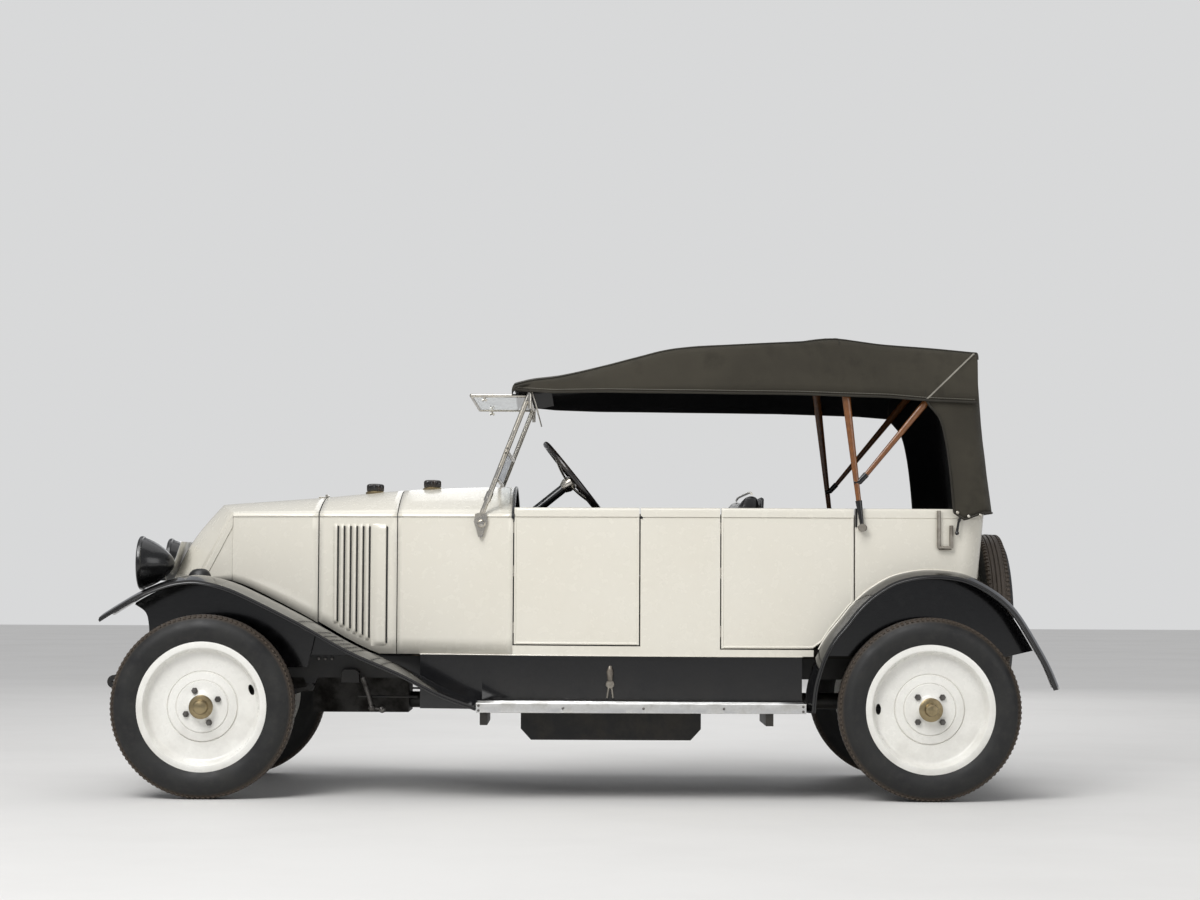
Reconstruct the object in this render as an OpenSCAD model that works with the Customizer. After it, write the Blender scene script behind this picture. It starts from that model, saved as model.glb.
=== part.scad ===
// Open four-door touring car of the 1920s, with its canvas top up.
// The front is -X, the driver's left side is -Y, +Z is up, and the ground is z = 0.

/* [Wheels] */
// Distance from the front wheels' axis to the rear wheels' axis
wheelbase = 2890; // [2700:5:3100]
// X of the front wheels' axis
front_wheel_x = -1488; // [-1500:1:-1470]
// Distance between the tyres' middle planes
track = 1220; // [1190:5:1260]
// Outer radius of a tyre
tyre_r = 365; // [350:1:380]
// Width of a tyre's section
tyre_w = 128; // [110:1:135]
// Radius of the wheel rim's lip
rim_r = 259; // [250:1:265]
// Distance of each king pin from the car's middle plane
king_y = 540; // [530:1:545]

/* [Body] */
// Height of the doors' and the tub's top edge
belt_z = 1165; // [1120:5:1200]
// Height of the body's lower edge
sill_z = 570; // [565:1:600]
// Height of the sheet's shoulder along the bonnet and the scuttle
shoulder_z = 1144; // [1120:1:1150]
// Thickness of the tub's walls and the doors
wall = 25; // [18:1:35]
// Thickness of the bonnet, cowl and scuttle
skin = 12; // [8:1:16]
// X of the joint between bonnet and radiator cowl
bonnet_rear_x = -1060; // [-1080:5:-1040]
// X of the joint between radiator cowl and scuttle
cowl_rear_x = -735; // [-760:5:-700]

/* [Doors] */
// X of the front doors' leading edge
front_door_x = -263; // [-280:1:-250]
// Length of a front door
front_door_len = 514; // [450:2:540]
// X of the rear doors' leading edge
rear_door_x = 570; // [540:2:600]
// Length of a rear door
rear_door_len = 541; // [480:1:545]
// Height of the doors' lower edge
door_sill_z = 608; // [600:1:640]
// Gap round a door
door_gap = 5; // [5:0.5:8]

/* [Frame] */
// Distance of a frame rail's outer side from the middle plane
rail_y = 345; // [320:1:350]
// Width of a frame rail
rail_w = 45; // [30:1:60]
// Height of the rails' lower edge
rail_z = 470; // [460:1:480]
// Depth of a rail
rail_h = 90; // [70:1:90]
// Radius of the towing hole in a dumb iron
tow_r = 9; // [7:0.5:11]
// Radius of the starting handle's hole
crank_r = 12; // [10:0.5:16]

/* [Wings and boards] */
// Distance of the wings' outer edge from the middle plane
wing_y = 700; // [690:1:720]
// Thickness of the wings' sheet
wing_t = 8; // [5:1:10]
// How far the middle of a wing rises over its edge
wing_crown = 20; // [10:1:26]
// Height of the running boards' top
board_z = 387; // [370:1:400]
// Thickness of a running board
board_t = 38; // [25:1:42]

/* [Canvas top] */
// Half width of the canvas top
top_half = 592; // [580:1:600]
// How far the top rises from its shoulders to its middle
top_camber = 34; // [20:1:45]
// Thickness of the canvas with its lining
canvas_t = 7; // [5:1:10]

/* [Hidden] */

seat_gap = 0.3;
run_gap = 0.1;
front_x = front_wheel_x;
rear_x = front_wheel_x + wheelbase;
wheel_z = tyre_r;
wheel_y = track / 2;
half_length = 1920;

// Plan of the body: [x, half width]
BELT_PLAN = [[-1720, 190], [-1570, 205], [-1420, 262], [-1060, 345], [-735, 400], [-386, 455], [-263, 492],
    [0, 525], [250, 549], [570, 565], [900, 570], [1350, 568], [1500, 556]];
function belt_half(x) = lookup(x, BELT_PLAN);
// Height of the bonnet's and scuttle's middle ridge: [x, z]
RIDGE = [[-1468, 1185], [-1073, 1215], [-738, 1246], [-416, 1261], [-263, 1262]];
function ridge_z(x) = lookup(x, RIDGE);
// Upper line of a front wing's edge, tail to tip: [x, z]
FRONT_WING = [[-400.5, 373], [-548, 427], [-706, 506], [-905, 592], [-1103, 702], [-1301, 801], [-1400, 842],
    [-1500, 865], [-1570, 863], [-1639, 847], [-1738, 807], [-1820, 760], [-1889, 716]];
function front_wing_z(x) = lookup(x, [for (i = [len(FRONT_WING) - 1:-1:0]) FRONT_WING[i]]);
// Upper line of a rear wing's edge, tail to front: [x, z]
REAR_WING = [[half_length - wing_crown, 449], [1870, 522], [1832, 594], [1754, 724], [1694, 792], [1620, 846], [1540, 884],
    [1460, 898], [1380, 899], [1315, 890], [1254, 872], [1200, 842], [1152, 807], [1106, 762], [1066, 711],
    [1012, 645], [972, 573], [947, 500], [932, 435], [925, 352]];
// Upper line of the canvas top's shoulders: [x, z]
TOP_LINE = [[1594, 1796], [1420, 1812], [1226, 1826], [1130, 1838], [1033, 1850], [960, 1846], [897, 1838],
    [700, 1828], [402, 1808], [240, 1771], [92, 1732], [-75, 1697], [-187, 1685], [-262, 1668]];
// Lower edge of the canvas top's side valance: [x, z]
VALANCE = [[-273, 1640], [-102, 1627], [366, 1624], [888, 1620], [1248, 1610], [1396, 1598], [1600, 1590]];

// ---------- shared shapes ----------
module both_sides() {
    children();
    mirror([0, 1, 0]) children();
}

// Prism of a side outline [x, z] between two distances from the middle plane, on the left
module side_plate(outline, y_in, y_out) {
    translate([0, -y_in, 0]) rotate([90, 0, 0]) linear_extrude(y_out - y_in) polygon(outline);
}

// Round bar between two points
module bar(a, b, r) {
    v = b - a;
    translate(a) rotate([0, acos(v.z / norm(v)), atan2(v.y, v.x)]) cylinder(h = norm(v), r = r);
}

function unit(v) = v / max(norm(v), 0.000001);
function ring_normal(rings, i, j) =
    let (s = len(rings), n = len(rings[0]),
        across = rings[i][min(j + 1, n - 1)] - rings[i][max(j - 1, 0)],
        along = rings[min(i + 1, s - 1)][j] - rings[max(i - 1, 0)][j])
    unit(cross(across, along));
// With square, the first ring's thickness stays in its own plane
function inner_rings(rings, t, square) =
    [for (i = [0:len(rings) - 1]) [for (j = [0:len(rings[0]) - 1]) let (n = ring_normal(rings, i, j))
        rings[i][j] - t * (square && i == 0 ? unit([0, n.y, n.z]) : n)]];
function quad(a, b, c, d) = [[a, b, c], [a, c, d]];

// Sheet of thickness t under rings of points: each ring runs left to right, and the rings run rear to front
module sheet(rings, t, square = false) {
    s = len(rings);
    n = len(rings[0]);
    m = s * n;
    end = (s - 1) * n;
    inner = inner_rings(rings, t, square);
    points = concat([for (ring = rings) each ring], [for (ring = inner) each ring]);
    faces = concat(
        [for (i = [0:s - 2], j = [0:n - 2])
            each quad(i * n + j, i * n + n + j, i * n + n + j + 1, i * n + j + 1)],
        [for (i = [0:s - 2], j = [0:n - 2])
            each quad(m + i * n + j, m + i * n + j + 1, m + i * n + n + j + 1, m + i * n + n + j)],
        [for (i = [0:s - 2]) each quad(i * n, m + i * n, m + i * n + n, i * n + n)],
        [for (i = [1:s - 1]) each quad(i * n + n - 1, m + i * n + n - 1, m + i * n - 1, i * n - 1)],
        [for (j = [0:n - 2]) each quad(j, j + 1, m + j + 1, m + j)],
        [for (j = [0:n - 2]) each quad(end + j, m + end + j, m + end + j + 1, end + j + 1)]);
    polyhedron(points = points, faces = faces, convexity = 6);
}

// ---------- frame, axles and engine ----------
rail_top = rail_z + rail_h;
rail_rear_x = 1640;
rail_front_x = -1700;
tow_x = -half_length + 27;
tow_z = 449;
tow_boss_r = 27;
eye_r = 16;
front_eye_x = -1840;
rear_eye_x = -1090;
eye_z = 430;
pad_z = 345;
crank_z = 500;
cross_t = 50;

module chassis_frame() {
    iron = [[rail_front_x + 2, rail_z], [front_eye_x + 30, eye_z + eye_r + seat_gap],
        [front_eye_x - 30, eye_z + eye_r + seat_gap], [tow_x + 8, tow_z - tow_boss_r + 2],
        [tow_x + 2, tow_z + tow_boss_r - 1], [-1800, 540], [rail_front_x + 2, rail_top]];
    hanger = [[rear_eye_x - 18, eye_z + eye_r + seat_gap], [rear_eye_x + 18, eye_z + eye_r + seat_gap],
        [rear_eye_x + 30, rail_z + 1], [rear_eye_x - 30, rail_z + 1]];
    color("#1c1c1c") difference() {
        union() {
            both_sides() {
                side_plate([[rail_front_x, rail_z], [rail_rear_x, rail_z], [rail_rear_x, rail_top],
                    [rail_front_x, rail_top]], rail_y - rail_w, rail_y);
                side_plate(iron, rail_y - rail_w, rail_y);
                side_plate(hanger, rail_y - rail_w, rail_y);
                translate([tow_x, -rail_y + rail_w, tow_z]) rotate([90, 0, 0]) cylinder(h = rail_w, r = tow_boss_r);
            }
            both_sides() for (x = [rail_front_x + 20, rail_front_x + 570])
                translate([x, -valance_y + valance_t + seat_gap, rail_top - 46])
                    cube([30, valance_y - valance_t - seat_gap - rail_y + 2, 40]);
            for (x = [rail_front_x + 10, -640, 560, rail_rear_x - cross_t])
                translate([x, -rail_y + rail_w - 1, rail_z])
                    cube([cross_t, 2 * (rail_y - rail_w + 1), rail_h]);
        }
        both_sides() translate([tow_x, 0, tow_z]) rotate([90, 0, 0]) cylinder(h = rail_y + 1, r = tow_r);
        translate([rail_front_x, 0, crank_z]) rotate([0, 90, 0]) cylinder(h = 2 * cross_t, r = crank_r);
    }
}

beam_half = 22;
fist_r = 26;
fist_low = wheel_z - 35;
fist_high = wheel_z + 35;
king_r = 11;
fork_t = 24;
fork_gap = 0.5;

module front_axle() {
    color("#1c1c1c") {
        difference() {
            union() {
                translate([front_x - beam_half, 0, 0]) rotate([90, 0, 90]) linear_extrude(2 * beam_half)
                    polygon([[-king_y, fist_low + 4], [-king_y + 40, fist_low + 4], [-rail_y - 20, 296], [rail_y + 20, 296],
                        [king_y - 40, fist_low + 4], [king_y, fist_low + 4],
                        [king_y, fist_high - 14], [rail_y + 12, pad_z - seat_gap], [-rail_y - 12, pad_z - seat_gap],
                        [-king_y, fist_high - 14]]);
                both_sides() translate([front_x, -king_y, fist_low]) cylinder(h = fist_high - fist_low, r = fist_r);
            }
            both_sides() translate([front_x, -king_y, fist_low - 1])
                cylinder(h = fist_high - fist_low + 2, r = king_r + run_gap);
        }
    }
}

rear_tube_r = 38;
diff_r = 115;
arm_y = 470;
arm_w = 20;
rear_spring_x = 1612;
rear_spring_w = 44;
drum_r = 135;
hub_in_y = wheel_y - 9;
stub_r = 20;
stub_out_y = wheel_y + 52;

module rear_axle() {
    color("#1c1c1c") {
        translate([rear_x, hub_in_y - 3, wheel_z]) rotate([90, 0, 0]) cylinder(h = 2 * (hub_in_y - 3), r = rear_tube_r);
        translate([rear_x, 0, wheel_z]) rotate([90, 0, 0]) rotate_extrude()
            polygon([[0, -150], [60, -145], [diff_r, -60], [diff_r, 60], [60, 145], [0, 150]]);
        translate([-704, 0, wheel_z]) rotate([0, 90, 0]) cylinder(h = rear_x + 704, r = 34);
        both_sides() {
            translate([rear_x, -hub_in_y + 29, wheel_z]) rotate([90, 0, 0]) cylinder(h = 26, r = drum_r);
            translate([rear_x, -hub_in_y + 5, wheel_z]) rotate([90, 0, 0])
                cylinder(h = stub_out_y - hub_in_y + 5, r = stub_r);
            translate([rear_x, -arm_y - arm_w, wheel_z]) cube([rear_spring_x + 26 - rear_x, arm_w, 24]);
        }
    }
}

// Upper line of a spring's leaves: it rises from its middle to its ends
function leaf_z(u, mid, end) = mid + (end - mid) * u * u;

module springs() {
    front_mid = (front_eye_x + rear_eye_x) / 2;
    front_half = (rear_eye_x - front_eye_x) / 2;
    upper = [for (k = [-8:8]) [front_mid + front_half * k / 8, leaf_z(k / 8, 394, eye_z + 5)]];
    lower = [for (k = [8:-1:-8]) [front_mid + front_half * k / 8, leaf_z(k / 8, pad_z, eye_z - 5)]];
    rear_low = [for (k = [-8:8]) [arm_y * k / 8, leaf_z(k / 8, 408, wheel_z + 24 + seat_gap)]];
    rear_high = [for (k = [8:-1:-8]) [arm_y * k / 8, leaf_z(k / 8, rail_z - seat_gap, wheel_z + 36)]];
    color("#242424") {
        both_sides() {
            side_plate(concat(upper, lower), rail_y - rail_w, rail_y);
            for (x = [front_eye_x, rear_eye_x])
                translate([x, -rail_y + rail_w, eye_z]) rotate([90, 0, 0]) cylinder(h = rail_w, r = eye_r);
            translate([rear_spring_x - rear_spring_w / 2, -arm_y - arm_w + 2, wheel_z + 24 + seat_gap])
                cube([rear_spring_w, arm_w + 2, 12]);
        }
        translate([rear_spring_x - rear_spring_w / 2, 0, 0]) rotate([90, 0, 90])
            linear_extrude(rear_spring_w) polygon(concat(rear_low, rear_high));
    }
}

engine_x = -1500;
engine_len = 400;
engine_half = 150;
gear_rear_x = -704;
module engine_block() {
    color("#3a3d3a") {
        translate([engine_x, -engine_half, 402]) cube([engine_len, 2 * engine_half, 520]);
        translate([engine_x + engine_len - 1, -130, 318]) cube([gear_rear_x - engine_x - engine_len + 1, 260, 240]);
    }
}

module underfloor_box() {
    outline = [[-232, 560], [-232, 262], [-190, 216], [466, 216], [508, 262], [508, 560]];
    color("#161616") {
        side_plate(outline, 46, 290);
        side_plate([[-315, 460], [-315, 330], [-232, 330], [-232, 460]], 80, 250);
    }
}

// ---------- body sheet ----------
top_fractions = [0.93, 0.8, 0.6, 0.4, 0.2, 0.06];
function top_z(f, low, high) = low + (high - low) * (1 - pow(f, 1.55));
function mirrored(half) = concat(half, [for (k = [len(half) - 2:-1:0]) [half[k].x, -half[k].y, half[k].z]]);
// Ring over the body at x, from the left lower edge to the right one
function body_ring(x, low) =
    let (w = belt_half(x), high = ridge_z(x))
    mirrored(concat([[x, -w, low], [x, -w, (low + shoulder_z) / 2], [x, -w, shoulder_z - 26],
            [x, -w + 5, shoulder_z - 7]],
        [for (f = top_fractions) [x, -w * f, top_z(f, shoulder_z - 4, high)]], [[x, 0, high]]));

nose_front = [-1708, 872];
nose_top = [-1500, 1182];
nose_side_top = [-1425, shoulder_z];
nose_side_low = [-1566, 892];
bonnet_gap = 5;
hinge_r = 6;
hinge_half = 40;
hinge_back = 3;
// Axis of the bonnet's hinge in the side view
hinge = [bonnet_rear_x - hinge_back, ridge_z(bonnet_rear_x) + sqrt(pow(hinge_r + seat_gap, 2) - pow(hinge_back, 2))];
plate_half = 170;
plate_t = 4;
function mix(a, b, t) = a + (b - a) * t;
// Middle line of the nose, from its top to its lower edge
function nose_tip(t) = mix(nose_top, nose_front, t) + [-20, 8] * sin(180 * t);
// Rings down the sloping nose: t runs from the shoulder to the lower front edge
function nose_ring(t) =
    let (side = mix(nose_side_top, nose_side_low, t),
        tip = nose_tip(t),
        w = mix(belt_half(nose_side_top.x), 196, t),
        low = mix(bonnet_low(nose_side_top.x), nose_side_low.y - 14, t))
    mirrored(concat([[side.x + 4, -w, low], [side.x + 3, -w, (low + side.y) / 2],
            [side.x + 2, -w, mix(side.y, low, 0.1)], [side.x - 3, -w + 4, mix(side.y, low, 0.02)]],
        [for (f = top_fractions) let (g = 1 - pow(f, 1.3))
            [mix(side.x, tip.x, g), -w * f, mix(side.y, tip.y, g)]], [[tip.x, 0, tip.y]]));
function bonnet_low(x) = front_wing_z(x) + bonnet_gap + 8;

module bonnet() {
    rear = bonnet_rear_x - bonnet_gap;
    stations = [rear, -1160, -1250, -1330, nose_side_top.x + 25];
    color("#d9d4c6") {
        sheet(concat([for (x = stations) body_ring(x, bonnet_low(x))], [for (t = [0:0.125:1]) nose_ring(t)]), skin, true);
        translate([hinge.x, hinge_half, hinge.y]) rotate([90, 0, 0]) cylinder(h = 2 * hinge_half, r = hinge_r);
        translate([hinge.x - 14, -hinge_half, ridge_z(hinge.x) - 9]) cube([14, 2 * hinge_half, hinge.y - ridge_z(hinge.x) + 9]);
    }
}

// Bent plate that stands ahead of the nose and touches it at its bend
module nose_plate() {
    foot = [-1738, 861];
    bend = [-1688.6, 918];
    head = [-1652, 1024];
    outline = [foot, bend, head, head + [-plate_t, 1], bend + [-plate_t, 1.5], foot + [-plate_t + 1, 2]];
    color("#c9c9c6") translate([0, plate_half, 0]) side_plate(outline, 0, 2 * plate_half);
}

module radiator_cowl() {
    stations = [cowl_rear_x - seat_gap, -820, -900, -980, bonnet_rear_x];
    color("#d9d4c6") sheet([for (x = stations) body_ring(x, max(sill_z, front_wing_z(x) + wing_t + 12))], skin, true);
}

module scuttle() {
    stations = [front_door_x - seat_gap, -310, -350, -386, -420, -520, -630, cowl_rear_x];
    color("#d9d4c6") sheet([for (x = stations) body_ring(x, sill_z)], skin, true);
}

rear_top_x = 1649;
rear_low_x = 1590;
corner_r = 110;
function rear_corner(inset) = [for (a = [0:15:90])
    [rear_top_x - corner_r + (corner_r - inset) * sin(a), -556 + corner_r - (corner_r - inset) * cos(a)]];
function plan_half(inset) = concat([for (p = BELT_PLAN) if (p.x >= front_door_x && p.x < 1500) [p.x, -p.y + inset]],
    rear_corner(inset));
function plan(inset) = let (half = plan_half(inset))
    concat(half, [for (k = [len(half) - 1:-1:0]) [half[k].x, -half[k].y]]);
module plan_prism(inset, low, high) {
    translate([0, 0, low]) linear_extrude(high - low) polygon(plan(inset));
}
// Everything ahead of the sloping rear panel
module rear_slope(inset, low, high) {
    translate([0, 1000, 0]) side_plate([[front_door_x - 50, low], [rear_low_x - inset, low], [rear_top_x - inset, belt_z],
        [rear_top_x - inset, high], [front_door_x - 50, high]], 0, 2000);
}
module body_wall() {
    difference() {
        intersection() {
            plan_prism(0, sill_z, belt_z);
            rear_slope(0, sill_z, belt_z + 1);
        }
        intersection() {
            plan_prism(wall, sill_z - 1, belt_z + 1);
            rear_slope(wall, sill_z - 1, belt_z + 1);
        }
        translate([front_door_x - 1, -belt_half(front_door_x) + wall - 1, sill_z - 1])
            cube([40, 2 * (belt_half(front_door_x) - wall + 1), belt_z - sill_z + 2]);
    }
}
house_y = 520;
// How far a wing rises over its edge at a distance y from the middle plane
function crown_at(y) = wing_crown * sin(180 * min((wing_y - y) / (wing_y - house_y), crown_hold));
crown_hold = 0.86;
wing_rise = crown_at(belt_half(rear_x)) + 1.5;
// Space that a rear wing and its wheel take out of the body's side
function arch_outline(gap) = concat([for (p = REAR_WING) let (v = unit(p - [rear_x, wheel_z])) p + v * gap],
    [[REAR_WING[len(REAR_WING) - 1].x - gap, 300], [half_length + gap, 300]]);
function door_outline(x, len, low, gap) = [[x + gap, low + gap], [x + len - gap, low + gap],
    [x + len - gap, belt_z + 1], [x + gap, belt_z + 1]];

module tub() {
    color("#d9d4c6") difference() {
        body_wall();
        both_sides() {
            side_plate(door_outline(front_door_x, front_door_len, door_sill_z, 0), 300, 800);
            side_plate(door_outline(rear_door_x, rear_door_len, door_sill_z - 11, 0), 300, 800);
            side_plate(arch_outline(wing_rise), 450, 800);
        }
    }
}

pin_r = door_gap / 2 - seat_gap;
pin_len = 44;
module door(x, len, low) {
    pin_x = x + door_gap / 2;
    pin_y = belt_half(x) - pin_r;
    color("#d9d4c6") {
        difference() {
            intersection() {
                body_wall();
                side_plate(door_outline(x, len, low, door_gap), 300, 800);
            }
            side_plate(arch_outline(wing_rise + door_gap), 450, 800);
        }
        for (z = [low + 50, (low + belt_z) / 2, belt_z - 60 - pin_len]) {
            translate([pin_x, -pin_y, z]) cylinder(h = pin_len, r = pin_r);
            translate([pin_x, -pin_y - 0.8, z]) cube([door_gap, 1.6, pin_len]);
        }
    }
}
module front_left_door() { door(front_door_x, front_door_len, door_sill_z); }
module front_right_door() { mirror([0, 1, 0]) front_left_door(); }
module rear_left_door() { door(rear_door_x, rear_door_len, door_sill_z - 11); }
module rear_right_door() { mirror([0, 1, 0]) rear_left_door(); }

floor_t = 14;
bulkhead_x = cowl_rear_x + 30;
column_hub = [-41, -250, 1268];
column_dir = [0.779, 0, 0.627];
module floor() {
    edge = concat([bulkhead_x], [for (p = BELT_PLAN) if (p.x >= -386 && p.x <= 900) p.x]);
    half = concat([for (x = edge) [x, -belt_half(x) + wall + seat_gap]],
        [[908, -house_y + 2 * seat_gap], [rear_low_x - wall - 2, -house_y + 2 * seat_gap]]);
    color("#4a4038") difference() {
        union() {
            translate([0, 0, rail_top]) linear_extrude(floor_t)
                polygon(concat(half, [for (k = [len(half) - 1:-1:0]) [half[k].x, -half[k].y]]));
            translate([bulkhead_x, -belt_half(bulkhead_x) + 30, rail_top])
                cube([14, 2 * (belt_half(bulkhead_x) - 30), 560]);
        }
        bar(column_hub - 1500 * column_dir, column_hub, column_r + seat_gap);
    }
}

module dashboard() {
    dash_x = -340;
    half = belt_half(dash_x) - skin - 1;
    under = skin + 1;
    crest = [for (f = [1, 0.93, 0.8, 0.6, 0.4, 0.2, 0]) [half * f, top_z(f, shoulder_z - 12, ridge_z(dash_x)) - under]];
    color("#8a5a30") translate([dash_x, 0, 0]) rotate([90, 0, 90]) linear_extrude(20)
        polygon(concat([[half, 1074]], crest, [for (k = [len(crest) - 2:-1:0]) [-crest[k].x, crest[k].y]], [[-half, 1074]]));
}

module front_seat() {
    back = [[600, 880], [590, 900], [655, 1236], [690, 1250], [740, 1238], [700, 740], [600, 740]];
    color("#1a1a1a") {
        translate([0, 498, 0]) side_plate([[130, 740], [120, 860], [150, 892], [598, 878], [598, 740]], 0, 996);
        translate([0, 498, 0]) side_plate(back, 0, 996);
    }
    color("#d9d4c6") translate([150, -470, rail_top + floor_t]) cube([530, 940, 740 - rail_top - floor_t]);
}

module rear_seat() {
    back = [[1490, 745], [1478, 880], [1530, 1180], [1590, 1185], [1598, 1150], [1566, 745]];
    color("#1a1a1a") {
        translate([0, 500, 0]) side_plate([[1060, 745], [1050, 860], [1080, 892], [1476, 875], [1488, 745]], 0, 1000);
        translate([0, 500, 0]) side_plate(back, 0, 1000);
    }
    color("#d9d4c6") translate([1080, -490, rail_top + floor_t]) cube([470, 980, 745 - rail_top - floor_t]);
}

// ---------- steering ----------
rim_radius = 200;
column_r = 19;
wheel_dish = 30;
module steering_column() {
    color("#181818") bar(column_hub - 1095 * column_dir, column_hub - (wheel_dish + seat_gap) * column_dir, column_r);
}
module steering_wheel() {
    color("#181818") translate(column_hub) rotate([0, acos(column_dir.z), 0]) {
        translate([0, 0, wheel_dish]) rotate_extrude() translate([rim_radius - 13, 0]) circle(r = 13, $fn = 32);
        translate([0, 0, -wheel_dish]) cylinder(h = 34, r = 26);
        for (a = [45:90:315]) rotate([0, 0, a])
            bar([20, 0, -wheel_dish + 20], [rim_radius - 14, 0, wheel_dish - 2], 6);
    }
}

arm_x = 150;
arm_z = fist_low - fork_gap - fork_t + 4;
arm_t = 16;
arm_eye_y = king_y;
arm_pin_r = 8;
module knuckle() {
    translate([front_x, -king_y, fist_high + fork_gap]) cylinder(h = fork_t, r = 30);
    translate([front_x, -king_y, fist_low - fork_gap - fork_t]) cylinder(h = fork_t, r = 30);
    translate([front_x, -king_y, fist_low - 20]) cylinder(h = fist_high - fist_low + 40, r = king_r);
    translate([front_x - 28, -king_y - 50, fist_low - fork_gap - fork_t])
        cube([56, 18, fist_high - fist_low + 2 * (fork_gap + fork_t)]);
    for (z = [fist_low - fork_gap - fork_t, fist_high + fork_gap])
        translate([front_x - 28, -king_y - 34, z]) cube([56, 34, fork_t]);
    translate([front_x, -king_y - 48, wheel_z]) rotate([90, 0, 0]) cylinder(h = 8, r = drum_r);
    translate([front_x, -king_y - 40, wheel_z]) rotate([90, 0, 0]) cylinder(h = stub_out_y - king_y - 40, r = stub_r);
    difference() {
        union() {
            translate([front_x + 8, -king_y, arm_z]) rotate([0, 0, atan2(king_y - arm_eye_y, arm_x)])
                translate([0, -14, 0]) cube([norm([arm_x, king_y - arm_eye_y]) - 8, 28, arm_t]);
            translate([front_x + arm_x, -arm_eye_y, arm_z]) cylinder(h = arm_t, r = 18);
        }
        translate([front_x + arm_x, -arm_eye_y, arm_z - 1]) cylinder(h = arm_t + 2, r = arm_pin_r + run_gap);
    }
}
module left_knuckle() { color("#1c1c1c") knuckle(); }
module right_knuckle() { color("#1c1c1c") mirror([0, 1, 0]) knuckle(); }
module tie_rod() {
    z = arm_z - 24;
    color("#1c1c1c") {
        translate([front_x + arm_x, arm_eye_y, z]) rotate([90, 0, 0]) cylinder(h = 2 * arm_eye_y, r = 12);
        both_sides() {
            translate([front_x + arm_x, -arm_eye_y, z - 16]) cylinder(h = 32, r = 17);
            translate([front_x + arm_x, -arm_eye_y, z]) cylinder(h = 24 + arm_t, r = arm_pin_r);
        }
    }
}

// ---------- wheels ----------
bead_r = 242;
// Profile of a wheel as [radius, distance outward from its middle plane]
module wheel() {
    profile = [[stub_r + run_gap, -8], [100, -8], [104, -4], [139, 4], [212, 2], [228, -20], [236, -46], [rim_r, -50],
        [rim_r, -44], [bead_r, -38], [bead_r, 38], [rim_r, 44], [rim_r, 50], [236, 52], [228, 44], [221, 24], [212, 12],
        [139, 14], [104, 22], [60, 26], [44, 46], [stub_r + run_gap, 50]];
    rotate([90, 0, 0]) rotate_extrude() polygon(profile);
}
module tyre() {
    bead = bead_r + seat_gap;
    side = tyre_w / 2;
    mid = (rim_r + tyre_r) / 2;
    wallr = (tyre_r - rim_r) / 2;
    right = concat([[bead, 37], [rim_r + seat_gap, 41], [rim_r + 6, 49]],
        [for (a = [-50:15:40]) [mid + wallr * sin(a), side * (0.72 + 0.28 * cos(a))]],
        [[tyre_r - 9, side - 10], [tyre_r - 2, side - 18], [tyre_r, side - 34]]);
    outline = concat(right, [for (k = [len(right) - 1:-1:0]) [right[k].x, -right[k].y]]);
    rotate([90, 0, 0]) rotate_extrude() polygon(outline);
}
module at_wheel(x, side) {
    translate([x, side * wheel_y, wheel_z]) rotate([0, 0, side > 0 ? 180 : 0]) children();
}
module front_left_wheel() { color("#f0eee8") at_wheel(front_x, -1) wheel(); }
module front_right_wheel() { color("#f0eee8") at_wheel(front_x, 1) wheel(); }
module rear_left_wheel() { color("#f0eee8") at_wheel(rear_x, -1) wheel(); }
module rear_right_wheel() { color("#f0eee8") at_wheel(rear_x, 1) wheel(); }
module front_left_tyre() { color("#2b2b2b") at_wheel(front_x, -1) tyre(); }
module front_right_tyre() { color("#2b2b2b") at_wheel(front_x, 1) tyre(); }
module rear_left_tyre() { color("#2b2b2b") at_wheel(rear_x, -1) tyre(); }
module rear_right_tyre() { color("#2b2b2b") at_wheel(rear_x, 1) tyre(); }

spare_x = 1730;
spare_z = 708;
module spare_wheel() { color("#f0eee8") translate([spare_x, 0, spare_z]) rotate([0, 0, 90]) wheel(); }
module spare_tyre() { color("#2b2b2b") translate([spare_x, 0, spare_z]) rotate([0, 0, 90]) tyre(); }
module spare_carrier() {
    lean = (rear_top_x - rear_low_x) / (belt_z - sill_z);
    foot_r = 90;
    foot_x = rear_low_x + lean * (spare_z + foot_r - sill_z) + seat_gap;
    color("#1c1c1c") {
        translate([foot_x, 0, spare_z]) rotate([0, 90, 0]) cylinder(h = spare_x - 9 - foot_x, r = foot_r);
        translate([spare_x - 30, 0, spare_z]) rotate([0, 90, 0]) cylinder(h = 80, r = stub_r);
    }
}

// ---------- wings, aprons and boards ----------
wing_steps = [0, 0.12, 0.3, 0.5, 0.7, 0.88, 1];
// Ring across a wing at p = [x, z], between two distances from the middle plane
function wing_ring(p, y_in, y_out, up) = [for (u = wing_steps)
    [p.x + up.x * wing_crown * sin(180 * min(u, crown_hold)), -mix(y_out, y_in, u), p.y + up.y * wing_crown * sin(180 * min(u, crown_hold))]];
valance_y = 358;
valance_t = 6;
catwalk_t = 4;
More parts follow.
